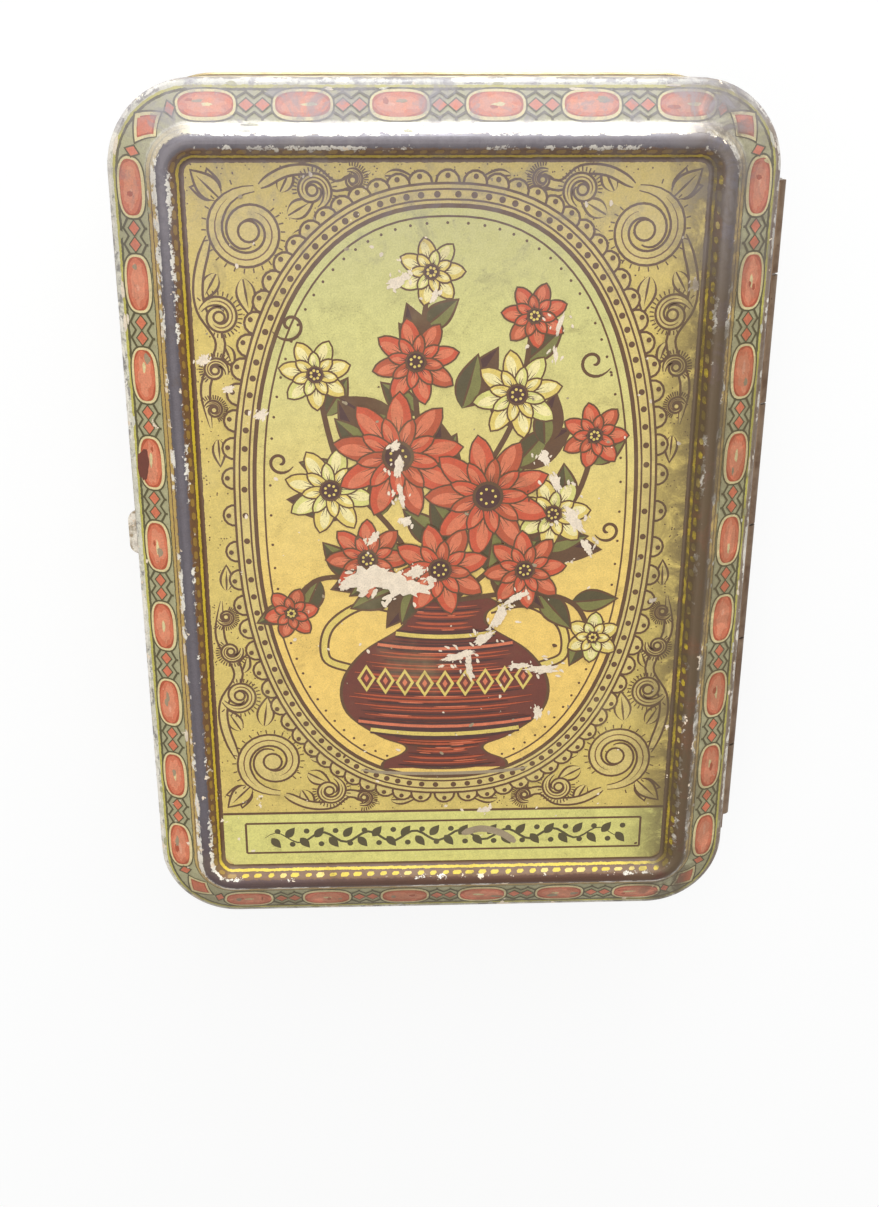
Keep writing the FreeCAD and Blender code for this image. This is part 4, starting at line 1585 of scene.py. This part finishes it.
# The photograph's camera, fitted to the lid's outline: its place and its directions.
CAMERA_PLACE = Vector((-8.7, 61.4, 199.8))
CAMERA_FORWARD = Vector((0.034, -0.3576, -0.9332))
CAMERA_UP = Vector((0.0123, 0.9339, -0.3574))
PHOTO_HEIGHT = 1207
FOCAL_PIXELS = 1345
SHIFT_PIXELS = (11.8, -28.0)
SENSOR = 36.0
LAMPS = (
    ("window_light", (0.06, 0.62, 0.50), 0.75, 4.8, (0.92, 0.97, 1.0)),
    ("sill_light", (0.04, 0.70, 0.11), 0.22, 4.0, (0.90, 0.96, 1.0)),
    ("overhead_light", (-0.24, 0.10, 1.10), 1.1, 6.0, (1.0, 0.98, 0.94)),
)


def aim(piece, place, target):
    """Put a lamp at a place and point it at another, both in metres."""
    piece.location = place
    piece.rotation_euler = (Vector(target) - Vector(place)).to_track_quat("-Z", "Y").to_euler()


class TIN_OT_stage(bpy.types.Operator):
    """Set the floor, the lamps, the surroundings and the camera"""
    bl_idname = "tin.stage"
    bl_label = "Stage"

    def execute(self, context):
        scene = context.scene
        scene.view_settings.view_transform = "Standard"
        self.floor(scene)
        self.surroundings(scene)
        for name, place, size, power, tint in LAMPS:
            lamp = bpy.data.lights.new(name, "AREA")
            lamp.size = size
            lamp.energy = power
            lamp.color = tint
            piece = bpy.data.objects.new(name, lamp)
            scene.collection.objects.link(piece)
            aim(piece, place, (0.0, 0.0, 0.02))
        self.camera(scene)
        return {"FINISHED"}

    def floor(self, scene):
        """A pale floor that looks evenly lit to the camera and keeps the tin's shadow."""
        mesh = bpy.data.meshes.new("floor")
        half = 3.0
        mesh.from_pydata(
            [(-half, -half, 0.0), (half, -half, 0.0), (half, half, 0.0), (-half, half, 0.0)],
            [], [(0, 1, 2, 3)],
        )
        piece = bpy.data.objects.new("floor", mesh)
        scene.collection.objects.link(piece)
        material, w, shader = new_material("pale_floor")
        shader.inputs["Base Color"].default_value = (0.9, 0.9, 0.89, 1.0)
        shader.inputs["Roughness"].default_value = 0.9
        glow = w.node("Emission")
        seen = w.node("LightPath")
        mixer = w.node("MixShader")
        straight = w.math("MAXIMUM", seen.outputs["Is Camera Ray"], seen.outputs["Is Glossy Ray"])
        w.feed(mixer.inputs[0], w.math("MULTIPLY", straight, 0.85))
        w.links.new(shader.outputs[0], mixer.inputs[1])
        w.links.new(glow.outputs[0], mixer.inputs[2])
        output = material.node_tree.nodes["Material Output"]
        w.links.new(mixer.outputs[0], output.inputs["Surface"])
        mesh.materials.append(material)

    def surroundings(self, scene):
        """White surroundings that light the tin only a little."""
        world = bpy.data.worlds.new("studio")
        scene.world = world
        world.use_nodes = True
        w = Wiring(world.node_tree)
        background = world.node_tree.nodes["Background"]
        background.inputs["Color"].default_value = (1.0, 1.0, 1.0, 1.0)
        seen = w.node("LightPath")
        straight = w.math("MAXIMUM", seen.outputs["Is Camera Ray"], seen.outputs["Is Glossy Ray"])
        w.feed(background.inputs["Strength"], w.blend(straight, 0.26, 1.0))

    def camera(self, scene):
        """The photograph's camera."""
        lens = bpy.data.cameras.new("camera")
        lens.sensor_fit = "VERTICAL"
        lens.sensor_height = SENSOR
        lens.lens = FOCAL_PIXELS * SENSOR / PHOTO_HEIGHT
        lens.shift_x, lens.shift_y = (shift / PHOTO_HEIGHT for shift in SHIFT_PIXELS)
        lens.clip_start = 0.01
        piece = bpy.data.objects.new("camera", lens)
        scene.collection.objects.link(piece)
        forward = CAMERA_FORWARD.normalized()
        right = forward.cross(CAMERA_UP).normalized()
        above = right.cross(forward)
        turn = Matrix((right, above, -forward)).transposed().to_4x4()
        piece.matrix_world = Matrix.Translation(CAMERA_PLACE * MM) @ turn
        scene.camera = piece


OPERATORS = (
    TIN_OT_tinplate, TIN_OT_border, TIN_OT_rope, TIN_OT_spandrels, TIN_OT_field, TIN_OT_plaque,
    TIN_OT_vase, TIN_OT_bouquet, TIN_OT_wear, TIN_OT_sides, TIN_OT_stage,
)


class TIN_PT_panel(bpy.types.Panel):
    """Lists the sizes, inks and steps of the tin"""
    bl_idname = "TIN_PT_panel"
    bl_label = "Lithographed Tin"
    bl_space_type = "VIEW_3D"
    bl_region_type = "UI"
    bl_category = "Tin"

    def draw(self, context):
        layout = self.layout
        for settings in (context.scene.tin_sizes, context.scene.tin_inks):
            column = layout.column()
            for name in settings.bl_rna.properties.keys():
                if name not in {"name", "rna_type"}:
                    column.prop(settings, name)
        for operator in OPERATORS:
            layout.operator(operator.bl_idname)


CLASSES = (TinSizes, TinInks, *OPERATORS, TIN_PT_panel)


def register():
    """Register the settings, the steps and the panel."""
    for cls in CLASSES:
        bpy.utils.register_class(cls)
    bpy.types.Scene.tin_sizes = bpy.props.PointerProperty(type=TinSizes)
    bpy.types.Scene.tin_inks = bpy.props.PointerProperty(type=TinInks)


def unregister():
    """Take them all away again."""
    del bpy.types.Scene.tin_inks
    del bpy.types.Scene.tin_sizes
    for cls in reversed(CLASSES):
        bpy.utils.unregister_class(cls)


def main():
    """Dress the tin."""
    register()
    for operator in OPERATORS:
        group, name = operator.bl_idname.split(".")
        getattr(getattr(bpy.ops, group), name)()


if __name__ == "__main__":
    main()
